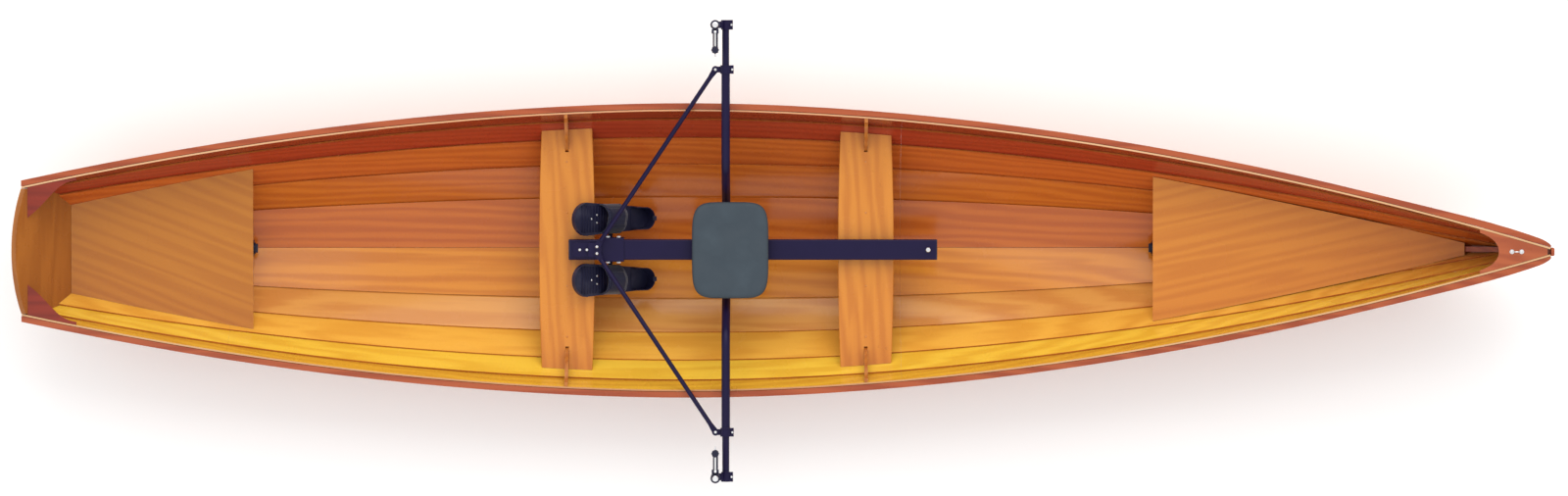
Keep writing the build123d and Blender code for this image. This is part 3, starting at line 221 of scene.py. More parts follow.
    def _mottle(self) -> bpy.types.NodeTree:
        """Makes fine and broad unevenness for roughness, colour and bump.

        Returns:
            The group, with a value between the two limits, and the broad and fine noise.
        """
        inputs = {"Broad Scale": 8.0, "Fine Scale": 400.0, "Low": 0.3, "High": 0.5}
        tree, start, end = new_group("mottle", inputs, ("Value", "Broad", "Fine"))
        place = node(tree, "TexCoord")
        broad = node(tree, "TexNoise", in_Detail=4.0)
        fine = node(tree, "TexNoise", in_Detail=3.0)
        value = node(tree, "MapRange", in_From_Min=0.3, in_From_Max=0.7)
        link_chain(
            tree,
            (place.outputs["Object"], broad.inputs["Vector"]),
            (place.outputs["Object"], fine.inputs["Vector"]),
            (start.outputs["Broad Scale"], broad.inputs["Scale"]),
            (start.outputs["Fine Scale"], fine.inputs["Scale"]),
            (broad.outputs[0], value.inputs[0]),
            (start.outputs["Low"], value.inputs[3]),
            (start.outputs["High"], value.inputs[4]),
            (value.outputs[0], end.inputs["Value"]),
            (broad.outputs[0], end.inputs["Broad"]),
            (fine.outputs[0], end.inputs["Fine"]),
        )
        return tree

    def _weave(self) -> bpy.types.NodeTree:
        """Makes a plain weave of crossing ribs.

        Returns:
            The group, with a height.
        """
        tree, start, end = new_group("weave", {"Scale": 300.0}, ("Height",))
        place = node(tree, "TexCoord")
        along = node(tree, "TexWave", bands_direction="X")
        across = node(tree, "TexWave", bands_direction="Y")
        total = node(tree, "Math", operation="MULTIPLY")
        for wave in (along, across):
            tree.links.new(place.outputs["Object"], wave.inputs["Vector"])
            tree.links.new(start.outputs[0], wave.inputs["Scale"])
        link_chain(
            tree,
            (along.outputs["Fac"], total.inputs[0]),
            (across.outputs["Fac"], total.inputs[1]),
            (total.outputs[0], end.inputs["Height"]),
        )
        return tree


@dataclass(frozen=True)
class WoodFinish:
    """Varnished wood with its grain along one axis."""

    name: str
    light: Colour
    dark: Colour
    grain: Grain = Grain.LENGTHWISE
    figure: float = 0.6
    shift: float = 0.0
    gloss: float = 0.26
    turn: float = 0.0
    edge_tone: Colour = (0.62, 0.36, 0.18)
    pale_edges: bool = False
    # Tone of the faces that look outboard; where it is given, the main tones with any painted light and shade stay on
    # the faces that look inboard.
    outer: tuple[Colour, Colour] | None = None
    outward: float = 1.0
    outer_shift: float = 1.3

    def material(self, effects: EffectLibrary) -> bpy.types.Material:
        """Builds the material.

        Args:
            effects: the shared node groups.

        Returns:
            The finished material.
        """
        made, tree, shader = blank_material(self.name)
        place = node(tree, "TexCoord")
        laid = node(tree, "Mapping", in_Rotation=(0.0, 0.0, math.radians(self.turn)))
        grain = self._grained(tree, effects, (self.light, self.dark), self.shift)
        wear = node(tree, "Group", node_tree=effects.wear, in_Radius=0.004, in_Amount=0.25)
        worn = node(tree, "Mix", data_type="RGBA", in_7=(*self.edge_tone, 1))
        mottle = node(tree, "Group", node_tree=effects.mottle, in_Low=self.gloss - 0.07, in_High=self.gloss + 0.08)
        bump = node(tree, "Bump", in_Strength=0.06, in_Distance=0.002)
        shader.inputs["Coat Weight"].default_value = 0.35
        shader.inputs["Coat Roughness"].default_value = 0.12
        shader.inputs["Specular IOR Level"].default_value = 0.2
        link_chain(
            tree,
            (place.outputs["Object"], laid.inputs["Vector"]),
            (laid.outputs["Vector"], grain.inputs["Vector"]),
            (wear.outputs["Mask"], worn.inputs[0]),
            (mottle.outputs["Value"], shader.inputs["Roughness"]),
            (grain.outputs["Height"], bump.inputs["Height"]),
            (bump.outputs[0], shader.inputs["Normal"]),
        )
        face = grain.outputs["Color"]
        if self.outer:
            face = self._outer_face(tree, effects, laid, face)
        tree.links.new(face, worn.inputs[MIX_A])
        tone = worn.outputs[MIX_OUT]
        if self.pale_edges:
            tone = self._pale_edge(tree, tone)
        tree.links.new(tone, shader.inputs["Base Color"])
        return made

    def _grained(
        self, tree: bpy.types.NodeTree, effects: EffectLibrary, tones: tuple[Colour, Colour], shift: float
    ) -> bpy.types.Node:
        """Adds the grain in two tones.

        Args:
            tree: the material's nodes.
            effects: the shared node groups.
            tones: its light and dark tone.
            shift: how far the pattern is moved, so that no two boards match.

        Returns:
            The grain's node.
        """
        light, dark = ((*tone, 1) for tone in tones)
        grain = node(tree, "Group", node_tree=effects.grain, in_Light=light, in_Dark=dark, in_Shift=shift)
        grain.inputs["Stretch"].default_value = self.grain.value
        grain.inputs["Figure"].default_value = self.figure
        return grain

    def _outer_face(
        self, tree: bpy.types.NodeTree, effects: EffectLibrary, laid: bpy.types.Node, inner: bpy.types.NodeSocket
    ) -> bpy.types.NodeSocket:
        """Gives the faces that look outboard their own tone, so the main tones with their painted light and shade show
        only on the faces that look inboard.

        Args:
            tree: the material's nodes.
            effects: the shared node groups.
            laid: the node that lays the grain.
            inner: the colour of the faces that look inboard, which carries the painted light and shade.

        Returns:
            The colour of both.
        """
        grain = self._grained(tree, effects, self.outer, self.shift + self.outer_shift)
        place = node(tree, "TexCoord")
        parts = node(tree, "SeparateXYZ")
        mask = node(tree, "MapRange", in_From_Min=0.02 * self.outward, in_From_Max=-0.02 * self.outward)
        mix = node(tree, "Mix", data_type="RGBA")
        link_chain(
            tree,
            (laid.outputs["Vector"], grain.inputs["Vector"]),
            (place.outputs["Normal"], parts.inputs[0]),
            (parts.outputs["Y"], mask.inputs[0]),
            (mask.outputs[0], mix.inputs[0]),
            (grain.outputs["Color"], mix.inputs[MIX_A]),
            (inner, mix.inputs[MIX_B]),
        )
        return mix.outputs[MIX_OUT]

    def _pale_edge(self, tree: bpy.types.NodeTree, tone: bpy.types.NodeSocket) -> bpy.types.NodeSocket:
        """Shows the plies' pale end grain on faces that look straight up.

        Args:
            tree: the material's nodes.
            tone: the colour of the plank's face.

        Returns:
            The colour with the pale edge mixed in.
        """
        geometry = node(tree, "TexCoord")
        parts = node(tree, "SeparateXYZ")
        mask = node(tree, "MapRange", in_From_Min=0.93, in_From_Max=0.97)
        mix = node(tree, "Mix", data_type="RGBA", in_7=(*self.edge_tone, 1))
        link_chain(
            tree,
            (geometry.outputs["Normal"], parts.inputs[0]),
            (parts.outputs["Z"], mask.inputs[0]),
            (mask.outputs[0], mix.inputs[0]),
            (tone, mix.inputs[MIX_A]),
        )
        return mix.outputs[MIX_OUT]


@dataclass(frozen=True)
class MetalFinish:
    """Bare or anodised metal with fine scratches and rubbed edges."""

    name: str
    tone: Colour
    rubbed: Colour
    roughness: float = 0.35
    metallic: float = 1.0
    wear: float = 0.5
    specular: float = 0.5

    def material(self, effects: EffectLibrary) -> bpy.types.Material:
        """Builds the material.

        Args:
            effects: the shared node groups.

        Returns:
            The finished material.
        """
        made, tree, shader = blank_material(self.name)
        mottle = mottled(tree, effects, self.roughness, 14.0, 900.0)
        wear = node(tree, "Group", node_tree=effects.wear, in_Radius=0.0012, in_Amount=self.wear)
        clouded = node(tree, "Mix", data_type="RGBA", in_6=(*self.tone, 1))
        clouded.inputs[MIX_B].default_value = (*[min(1.0, 1.35 * c) for c in self.tone], 1)
        worn = node(tree, "Mix", data_type="RGBA", in_7=(*self.rubbed, 1))
        bump = node(tree, "Bump", in_Strength=0.05, in_Distance=0.0005)
        shader.inputs["Metallic"].default_value = self.metallic
        shader.inputs["Specular IOR Level"].default_value = self.specular
        link_chain(
            tree,
            (mottle.outputs["Broad"], clouded.inputs[0]),
            (clouded.outputs[MIX_OUT], worn.inputs[MIX_A]),
            (wear.outputs["Mask"], worn.inputs[0]),
            (worn.outputs[MIX_OUT], shader.inputs["Base Color"]),
            (mottle.outputs["Value"], shader.inputs["Roughness"]),
            (mottle.outputs["Fine"], bump.inputs["Height"]),
            (bump.outputs[0], shader.inputs["Normal"]),
        )
        return made


@dataclass(frozen=True)
class MouldedFinish:
    """Moulded plastic, foam or rubber with a fine texture."""

    name: str
    tone: Colour
    scuffed: Colour
    roughness: float = 0.5
    pebble: float = 700.0
    depth: float = 0.12
    specular: float = 0.5

    def material(self, effects: EffectLibrary) -> bpy.types.Material:
        """Builds the material.

        Args:
            effects: the shared node groups.

        Returns:
            The finished material.
        """
        made, tree, shader = blank_material(self.name)
        mottle = mottled(tree, effects, self.roughness, 11.0, self.pebble)
        scuffs = node(tree, "MapRange", in_From_Min=0.5, in_From_Max=0.85)
        tone = node(tree, "Mix", data_type="RGBA", in_6=(*self.tone, 1), in_7=(*self.scuffed, 1))
        wear = node(tree, "Group", node_tree=effects.wear, in_Radius=0.0015, in_Amount=0.35)
        worn = node(tree, "Mix", data_type="RGBA", in_7=(*self.scuffed, 1))
        bump = node(tree, "Bump", in_Strength=self.depth, in_Distance=0.0008)
        shader.inputs["Specular IOR Level"].default_value = self.specular
        link_chain(
            tree,
            (mottle.outputs["Broad"], scuffs.inputs[0]),
            (scuffs.outputs[0], tone.inputs[0]),
            (tone.outputs[MIX_OUT], worn.inputs[MIX_A]),
            (wear.outputs["Mask"], worn.inputs[0]),
            (worn.outputs[MIX_OUT], shader.inputs["Base Color"]),
            (mottle.outputs["Value"], shader.inputs["Roughness"]),
            (mottle.outputs["Fine"], bump.inputs["Height"]),
            (bump.outputs[0], shader.inputs["Normal"]),
        )
        return made


@dataclass(frozen=True)
class WovenFinish:
    """Woven webbing, lighter on its raised ribs and darker in the hollows of the weave as painted light and shade."""

    name: str
    tone: Colour
    raised_rib_painted_light: Colour
    scale: float = 260.0

    def material(self, effects: EffectLibrary) -> bpy.types.Material:
        """Builds the material.

        Args:
            effects: the shared node groups.

        Returns:
            The finished material.
        """
        made, tree, shader = blank_material(self.name)
        weave = node(tree, "Group", node_tree=effects.weave, in_Scale=self.scale)
        mottle = node(tree, "Group", node_tree=effects.mottle, in_Low=0.7, in_High=0.9)
        # Painted light and shade: the raised ribs get the lighter tone and the hollows of the weave get the darker
        # one.
        tone = node(tree, "Mix", data_type="RGBA", in_6=(*self.tone, 1), in_7=(*self.raised_rib_painted_light, 1))
        shader.inputs["Specular IOR Level"].default_value = 0.12
        bump = node(tree, "Bump", in_Strength=0.5, in_Distance=0.0006)
        shader.inputs["Sheen Weight"].default_value = 0.3
        link_chain(
            tree,
            (weave.outputs[0], tone.inputs[0]),
            (tone.outputs[MIX_OUT], shader.inputs["Base Color"]),
            (mottle.outputs["Value"], shader.inputs["Roughness"]),
            (weave.outputs[0], bump.inputs["Height"]),
            (bump.outputs[0], shader.inputs["Normal"]),
        )
        return made


def blank_material(name: str) -> tuple[bpy.types.Material, bpy.types.NodeTree, bpy.types.Node]:
    """Makes a material with only a Principled shader.

    Args:
        name: the material's name.

    Returns:
        The material, its node tree and its shader.
    """
    made = bpy.data.materials.new(name)
    made.use_nodes = True
    tree = made.node_tree
    tree.nodes.clear()
    shader = node(tree, "BsdfPrincipled")
    end = node(tree, "OutputMaterial")
    tree.links.new(shader.outputs[0], end.inputs["Surface"])
    return made, tree, shader


def mottled(
    tree: bpy.types.NodeTree, effects: EffectLibrary, roughness: float, broad: float, fine: float
) -> bpy.types.Node:
    """Adds the unevenness of a surface.

    Args:
        tree: the material's nodes.
        effects: the shared node groups.
        roughness: the surface's usual roughness.
        broad: the clouds' scale.
        fine: the fine texture's scale.

    Returns:
        The group's node.
    """
    mottle = node(tree, "Group", node_tree=effects.mottle, in_Low=roughness - SHINIER, in_High=roughness + DULLER)
    mottle.inputs["Broad Scale"].default_value = broad
    mottle.inputs["Fine Scale"].default_value = fine
    return mottle


def dress(name: str, material: bpy.types.Material) -> None:
    """Gives a CAD node its material.

    Args:
        name: the node.
        material: its finish.
    """
    piece = frame["nodes"][name]
    piece.data.materials.clear()
    piece.data.materials.append(material)


def new_piece(
    name: str, mesh: bmesh.types.BMesh, material: bpy.types.Material, body: str
) -> bpy.types.Object:
    """Turns a built mesh into a piece that rides on a body.

    Args:
        name: the piece's name.
        mesh: its geometry, freed here.
        material: its finish.
        body: the CAD body that carries it.

    Returns:
        The new object.
    """
    bmesh.ops.recalc_face_normals(mesh, faces=mesh.faces)
    data = bpy.data.meshes.new(name)
    mesh.to_mesh(data)
    mesh.free()
    for face in data.polygons:
        face.use_smooth = True
    piece = bpy.data.objects.new(name, data)
    bpy.context.scene.collection.objects.link(piece)
    data.materials.append(material)
    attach(piece, body)
    return piece


def skin(mesh: bmesh.types.BMesh, rows: list[list[bmesh.types.BMVert]], closed: bool = True) -> None:
    """Joins rings of vertices into a tube.

    Args:
        mesh: the mesh to add to.
        rows: the rings, each with the same count.
        closed: whether both ends get a face.
    """
    for a, b in zip(rows, rows[1:]):
        for i in range(len(a)):
            j = (i + 1) % len(a)
            mesh.faces.new((a[i], a[j], b[j], b[i]))
    if closed:
        mesh.faces.new(list(reversed(rows[0])))
        mesh.faces.new(rows[-1])


@dataclass
class Hull:
    """The planked shell with its timbers, decks and thwarts."""

    effects: EffectLibrary
    # Inboard tones per strake, with painted light and shade: the port strakes are darker red as painted shade, and the
    # starboard strakes are lighter and yellower as painted light.
    plank_tones_with_painted_light_and_shade: dict[str, tuple[Colour, Colour]] = field(
        default_factory=lambda: {
            "garboard_port": ((0.52, 0.135, 0.016), (0.40, 0.085, 0.011)),
            "garboard_starboard": ((0.65, 0.24, 0.028), (0.50, 0.15, 0.017)),
            "second_strake_port": ((0.51, 0.13, 0.016), (0.39, 0.08, 0.011)),
            # The paler tone of the starboard second strake is a painted highlight.
            "second_strake_starboard": ((0.68, 0.31, 0.07), (0.56, 0.21, 0.045)),
            "third_strake_port": ((0.50, 0.11, 0.018), (0.38, 0.068, 0.012)),
            "third_strake_starboard": ((0.80, 0.41, 0.055), (0.68, 0.30, 0.035)),
            "fourth_strake_port": ((0.36, 0.040, 0.015), (0.27, 0.026, 0.010)),
            "fourth_strake_starboard": ((0.84, 0.53, 0.05), (0.72, 0.39, 0.03)),
            "sheer_strake_port": ((0.29, 0.034, 0.014), (0.20, 0.021, 0.009)),
            "sheer_strake_starboard": ((0.78, 0.44, 0.035), (0.62, 0.30, 0.022)),
        }
    )
    outer_tone: tuple[Colour, Colour] = ((0.50, 0.150, 0.026), (0.37, 0.088, 0.016))
    bung_radius: float = 0.0045
    bung_pitch: float = 0.15
    bung_height: float = 0.0012
    bung_taper: float = 0.8
    bung_lift: float = 0.0002
    screw_radius: float = 0.0042
    screw_rows: tuple[float, ...] = (-0.31, -0.13, 0.13, 0.31)

    def dress_planks(self) -> None:
        """Varnishes each strake, with painted shade on the port strakes' inboard faces and painted light on the
        starboard ones; the outboard faces share one tone.
        """
        for index, (plank, (light, dark)) in enumerate(self.plank_tones_with_painted_light_and_shade.items()):
            finish = WoodFinish(
                f"{plank}_varnish",
                light,
                dark,
                shift=2.9 * index,
                figure=0.75,
                pale_edges=plank.startswith("sheer"),
                outer=self.outer_tone,
                outward=1.0 if plank.endswith("port") else -1.0,
            )
            dress(plank, finish.material(self.effects))

    def dress_panels(self) -> None:
        """Varnishes decks, thwarts, bulkheads and frames."""
        aft_gold = ((0.46, 0.165, 0.018), (0.37, 0.115, 0.013))
        fore_gold = ((0.60, 0.215, 0.028), (0.49, 0.15, 0.019))
        orange = ((0.62, 0.225, 0.030), (0.47, 0.14, 0.019))
        shade = ((0.45, 0.15, 0.025), (0.34, 0.09, 0.016))
        for name, tones, shift, turn in (("stern_deck", aft_gold, 11.0, 18.0), ("bow_deck", fore_gold, 17.0, -14.0)):
            dress(name, WoodFinish(f"{name}_varnish", *tones, shift=shift, turn=turn).material(self.effects))
        boards = {
            "aft_thwart": (orange, 3.0),
            "forward_thwart": (orange, 8.0),
            "aft_frame": (shade, 5.0),
            "forward_frame": (shade, 6.0),
            "stern_bulkhead": (shade, 7.0),
            "bow_bulkhead": (shade, 9.0),
        }
        for name, (tones, shift) in boards.items():
            finish = WoodFinish(f"{name}_varnish", *tones, grain=Grain.ATHWARTSHIPS, shift=shift)
            dress(name, finish.material(self.effects))

    def dress_timbers(self) -> None:
        """Varnishes the mahogany: outwales, knees, breasthook, stem, keel and the transom."""
        red = ((0.38, 0.082, 0.026), (0.25, 0.042, 0.015))
        warm = ((0.40, 0.095, 0.032), (0.28, 0.055, 0.02))
        for index, name in enumerate(("outwale_port", "outwale_starboard", "quarter_knees", "stem", "keel")):
            tone = red if name != "quarter_knees" else ((0.23, 0.024, 0.010), (0.15, 0.015, 0.007))
            shift = 2.0 * index
            finish = WoodFinish(f"{name}_mahogany", *tone, shift=shift, figure=0.7, edge_tone=(0.42, 0.13, 0.06))
            dress(name, finish.material(self.effects))
        dress("breasthook", WoodFinish("breasthook_mahogany", *warm, shift=21.0).material(self.effects))
        brown = ((0.36, 0.12, 0.02), (0.27, 0.08, 0.013))
        panel = WoodFinish("transom_mahogany", *brown, grain=Grain.ATHWARTSHIPS, shift=13.0)
        dress("transom", panel.material(self.effects))

    def add_bungs(self) -> None:
        """Lays a row of wooden bungs along the middle of each outwale's outer face."""
        bung = WoodFinish("bung_mahogany", (0.30, 0.07, 0.03), (0.2, 0.04, 0.02), figure=0.4).material(self.effects)
        for side, way in (("port", 1), ("starboard", -1)):
            rim = frame["nodes"][f"outwale_{side}"]
            mesh = bmesh.new()
            low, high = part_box(f"outwale_{side}")
            for step in range(1, int((high.x - low.x) / self.bung_pitch)):
                place = self._outer_face(rim, low.x + step * self.bung_pitch, way)
                if place is not None:
                    self._disc(mesh, place, Vector((0, way, 0)), self.bung_radius)
            new_piece(f"outwale_bungs_{side}", mesh, bung, "hull")

    def _outer_face(self, rim: bpy.types.Object, x: float, way: int) -> Vector | None:
        """Finds the middle of an outwale's outer face at X by casting a ray inwards.

        Args:
            rim: the outwale.
            x: where along the boat.
            way: 1 for port, -1 for starboard.

        Returns:
            The point on the face, or None where there is none.
        """
        heights = [v.co.z for v in rim.data.vertices if abs(v.co.x - x) < self.bung_pitch]
        if not heights:
            return None
        outside = Vector((x, way, sum(heights) / len(heights)))
        hit, place, _, _ = rim.ray_cast(outside, Vector((0, -way, 0)))
        return place if hit else None

    def _disc(self, mesh: bmesh.types.BMesh, place: Vector, normal: Vector, radius: float) -> None:
        """Adds a low domed disc.

        Args:
            mesh: the mesh to add to.
            place: its middle.
            normal: the way it faces.
            radius: its radius.
        """
        spot = Matrix.Translation(place) @ normal.to_track_quat("Z", "Y").to_matrix().to_4x4()
        size = {"radius1": radius, "radius2": radius * self.bung_taper, "depth": self.bung_height}
        bmesh.ops.create_cone(mesh, cap_ends=True, segments=16, matrix=spot, **size)

    def add_thwart_bungs(self) -> None:
        """Plugs the screws that hold each thwart to its frame."""
        wood = WoodFinish("thwart_bung_varnish", (0.55, 0.19, 0.03), (0.42, 0.12, 0.02), figure=0.3, shift=4.0)
        mesh = bmesh.new()
        for thwart in ("aft_thwart", "forward_thwart"):
            low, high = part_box(thwart)
            middle = (low.x + high.x) / 2
            for y in self.screw_rows:
                place = Vector((middle, y, high.z + self.bung_lift))
                self._disc(mesh, place, Vector((0, 0, 1)), self.screw_radius)
        new_piece("thwart_bungs", mesh, wood.material(self.effects), "hull")

    def build(self) -> None:
        """Dresses the whole hull."""
        self.dress_planks()
        self.dress_panels()
        self.dress_timbers()
        self.add_bungs()
        self.add_thwart_bungs()


@dataclass
class SeatPad:
    """The moulded foam seat: a thick rounded slab with two shallow hollows."""

    effects: EffectLibrary
    hollow: float = 0.006
    hollow_place: tuple[float, float] = (-0.1, 0.36)
    hollow_size: tuple[float, float] = (0.5, 0.24)
    crease_place: float = 0.62
    crease_sweep: float = 0.25
    crease_width: float = 0.05
    crease_share: float = 0.35
    corner: float = 5.0
    segments: int = 112
    profile: tuple[tuple[float, float], ...] = (
        (0.90, -1.0), (0.975, -0.86), (1.0, -0.4), (1.0, 0.25), (0.985, 0.68), (0.95, 0.92), (0.90, 0.985),
    )
    top_rings: tuple[float, ...] = (0.78, 0.64, 0.5, 0.36, 0.22, 0.1)

    def build(self) -> bpy.types.Object:
        """Builds the pad in the space of its CAD solid.

        Returns:
            The pad.
        """
        low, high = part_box("seat_pad")
        middle = (low + high) / 2
        half = (high - low) / 2
        mesh = bmesh.new()
        rings = []
        angles = [2 * math.pi * i / self.segments for i in range(self.segments)]
        for scale, level in self.profile:
            rings.append([mesh.verts.new(self._rim(middle, half, scale, level, angle)) for angle in angles])
        for inner in self.top_rings:
            ring = []
            for angle in angles:
                point = self._rim(middle, half, inner, 1.0, angle)
                point.z -= self._dish((point.x - middle.x) / half.x, (point.y - middle.y) / half.y)
                ring.append(mesh.verts.new(point))
            rings.append(ring)
        skin(mesh, rings, closed=False)
        mesh.faces.new(list(reversed(rings[0])))
        cap = mesh.verts.new(Vector((middle.x, middle.y, high.z - self._dish(0, 0))))
        for i in range(self.segments):
            mesh.faces.new((rings[-1][i], rings[-1][(i + 1) % self.segments], cap))
        skin_tones = ((0.027, 0.042, 0.057), (0.046, 0.065, 0.082))
        finish = MouldedFinish("seat_foam_skin", *skin_tones, roughness=0.7, pebble=520.0, depth=0.25)
        pad = new_piece("seat_pad_foam", mesh, finish.material(self.effects), "seat")
        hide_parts("seat_pad")
        return pad

    def _rim(self, middle: Vector, half: Vector, scale: float, level: float, angle: float) -> Vector:
        """A point of the pad's rounded outline.

        Args:
            middle: the pad's middle.
            half: half its size.
            scale: how far out, 1 at the edge.
            level: how high, -1 to 1.
            angle: which way.

        Returns:
            The point.
        """
        power = 2 / self.corner
        c, s = math.cos(angle), math.sin(angle)
        x = math.copysign(abs(c) ** power, c)
        y = math.copysign(abs(s) ** power, s)
        return middle + Vector((x * scale * half.x, y * scale * half.y, level * half.z))

    def _dish(self, along: float, across: float) -> float:
        """Depth of the seat's two hollows and of the fine crease ahead of them.

        Args:
            along: place fore and aft, -1 to 1.
            across: place athwartships, -1 to 1.

        Returns:
            The depth in metres.
        """
        (aft, out), (length, width) = self.hollow_place, self.hollow_size
        cheeks = 0.0
        for way in (-1, 1):
            cheeks += math.exp(-(((along - aft) / length) ** 2) - ((across - way * out) / width) ** 2)
        fold = along - self.crease_place + self.crease_sweep * abs(across)
        crease = self.crease_share * math.exp(-((fold / self.crease_width) ** 2))
        return self.hollow * (cheeks + crease)


def sole_axes() -> tuple[Vector, Vector]:
    """Directions along the soles, heel to toe, and out of them."""
    tilt = math.radians(FOOT_TILT)
    return Vector((-math.cos(tilt), 0, math.sin(tilt))), Vector((math.sin(tilt), 0, math.cos(tilt)))


def spread(points: list[Vector], axis: Vector) -> tuple[float, float]:
    """Finds how far points reach along an axis.

    Args:
        points: the points.
        axis: a unit vector.

    Returns:
        The lowest and the highest place.
    """
    places = [point.dot(axis) for point in points]
    return min(places), max(places)


def corners(name: str) -> list[Vector]:
    """Lists the vertices of a CAD node."""
    return [vertex.co for vertex in frame["nodes"][name].data.vertices]


def sole_place(side: str) -> tuple[float, float, float, float]:
    """Measures a footplate.

    Args:
        side: port or starboard.

    Returns:
        Its heel and toe along the sole, its middle in Y and the height of its face.
    """
    along, up = sole_axes()
    points = corners(f"footplate_{side}")
    heel, toe = spread(points, along)
    _, face = spread([point for point in points if point.dot(along) < heel + HEEL_STRIP], up)
    return heel, toe, sum(spread(points, Vector((0, 1, 0)))) / 2, face


@dataclass(frozen=True)
class Arch:
    """The half ellipse that a strap follows over a foot, leaning outboard."""

    way: int
    start: float
    base: float
    middle: float
    width: float
    rise: float
    half: float
    lean: float

    def point(self, edge: float, wider: float, higher: float, turn: float) -> Vector:
        """A point on the arch.

        Args:
            edge: place across the webbing, 0 at the heel's side and 1 at the toe's.
            wider: how much is added to its half width.
            higher: how much is added to its height.
            turn: angle round the arch, 0 on the port side.

        Returns:
            The point.
        """
        along, up = sole_axes()
        rise = (self.rise + higher) * math.sin(turn)
        point = along * (self.start + edge * self.width) + up * (self.base + rise)
        point.y = self.middle + (self.half + wider) * math.cos(turn) + self.way * self.lean * math.sin(turn) ** 2
        return point


@dataclass
class Footwear:
    """The footplates' ribbed soles and rivets, the heel cups' loops and the webbing straps."""

    effects: EffectLibrary
    strap_steps: int = 40
    strap_thickness: float = 0.0034
    strap_lean: float = 0.007
    strap_inset: float = 0.001
    strap_crown: float = 0.0006
    strap_ripple: float = 0.0015
    overlap_turns: tuple[float, float] = (0.9, 2.1)
    overlap_edges: tuple[float, float] = (0.08, 0.92)
    overlap_lift: float = 0.0012
    overlap_thickness: float = 0.0016
    stitches: int = 45
    stitch_radius: float = 0.0011
    stitch_edges: tuple[float, float] = (0.05, 0.95)
    stitch_start: float = 0.15
    stitch_lift: float = 0.0002
    rib_pitch: float = 0.012
    rib_start: float = 0.126
    rib_stop: float = 0.02
    rib_margin: float = 0.010
    rib_size: tuple[float, float] = (0.007, 0.0016)
    rib_lift: float = 0.0006
    rib_bevel: float = 0.0004
    sole_length: float = 0.335
    heel_radius: float = 0.041
    toe_radius: float = 0.059
    rivet_places: tuple[tuple[float, float], ...] = ((0.2275, -0.014), (0.2275, 0.014), (0.2515, 0.0))
    rivet_discs: tuple[tuple[float, float, float], ...] = ((0.0042, 0.0010, 0.0), (0.0024, 0.0009, 0.0008))
    rivet_taper: float = 0.7
    rivet_lift: float = 0.0014
    loop_steps: int = 24
    loop_inset: float = 0.0016
    loop_drop: float = 0.004
    loop_width: float = 0.016
    loop_rise: float = 0.013
    loop_reach: float = 0.0045
    loop_thickness: float = 0.0013

    def build_straps(self) -> None:
        """Builds each strap as a band that rises over the foot, with a hook-and-loop overlap."""
        finish = WovenFinish("strap_webbing", (0.004, 0.0045, 0.021), (0.01, 0.011, 0.038)).material(self.effects)
        thread = MouldedFinish("strap_thread", (0.03, 0.03, 0.07), (0.08, 0.08, 0.13), roughness=0.8)
        stitch = thread.material(self.effects)
        for side, way in (("port", 1), ("starboard", -1)):
            self._strap(side, self._arch(way), finish, stitch)
        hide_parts("foot_straps")

    def _arch(self, way: int) -> Arch:
        """Measures the CAD strap on one side.

        Args:
            way: 1 for port, -1 for starboard.

        Returns:
            The arch that fills it.
        """
        along, up = sole_axes()
        points = [point for point in corners("foot_straps") if point.y * way > 0]
        heel, toe = spread(points, along)
        base, top = spread(points, up)
        right, left = spread(points, Vector((0, 1, 0)))
        middle, half = (left + right) / 2, (left - right) / 2
        return Arch(way, heel, base, middle, toe - heel, top - base, half, self.strap_lean)

    def _strap(
        self, side: str, arch: Arch, finish: bpy.types.Material, stitch: bpy.types.Material
    ) -> bpy.types.Object:
        """Builds one strap and its stitches.

        Args:
            side: port or starboard.
            arch: the space of its CAD solid.
            finish: the webbing.
            stitch: the thread.

        Returns:
            The strap.
        """
        mesh = bmesh.new()
        inset = self.strap_inset
        self._band(mesh, arch, (0.0, math.pi), (0.0, 1.0), -inset, self.strap_thickness - inset)
        self._band(mesh, arch, self.overlap_turns, self.overlap_edges, self.overlap_lift, self.overlap_thickness)
        strap = new_piece(f"foot_strap_{side}_webbing", mesh, finish, "stretcher")
        thread = bmesh.new()
        flat = Matrix.Diagonal((1.4, 1, 0.6, 1))
        sweep = math.pi - 2 * self.stitch_start
        for edge in self.stitch_edges:
            for i in range(self.stitches + 1):
                turn = self.stitch_start + sweep * i / self.stitches
                spot = Matrix.Translation(arch.point(edge, self.stitch_lift, self.stitch_lift, turn)) @ flat
                bmesh.ops.create_uvsphere(thread, u_segments=6, v_segments=4, radius=self.stitch_radius, matrix=spot)
        new_piece(f"foot_strap_{side}_stitches", thread, stitch, "stretcher")
        return strap

    def _band(
        self,
        mesh: bmesh.types.BMesh,
        arch: Arch,
        turns: tuple[float, float],
        edges: tuple[float, float],
        lift: float,
        thick: float,
    ) -> None:
        """Adds a band that is a little crowned and rippled.

        Args:
            mesh: the mesh to add to.
            arch: what it follows.
            turns: its first and last angle.
            edges: its two edges, as shares of the arch's width.
            lift: how far it lies outside the arch.
            thick: its thickness.
        """
        near, far = edges
        margin = 0.1 * (far - near)
        crown = lift + self.strap_crown
        outline = ((near, lift), (near + margin, crown), (far - margin, crown), (far, lift))
        rows = []
        for i in range(self.strap_steps + 1):
            turn = turns[0] + (turns[1] - turns[0]) * i / self.strap_steps
            ripple = self.strap_ripple * math.sin(turn * 6)
            ring = [arch.point(edge, out, out + ripple, turn) for edge, out in outline]
            ring += [arch.point(edge, out - thick, out + ripple - thick, turn) for edge, out in reversed(outline)]
            rows.append([mesh.verts.new(point) for point in ring])
        skin(mesh, rows)

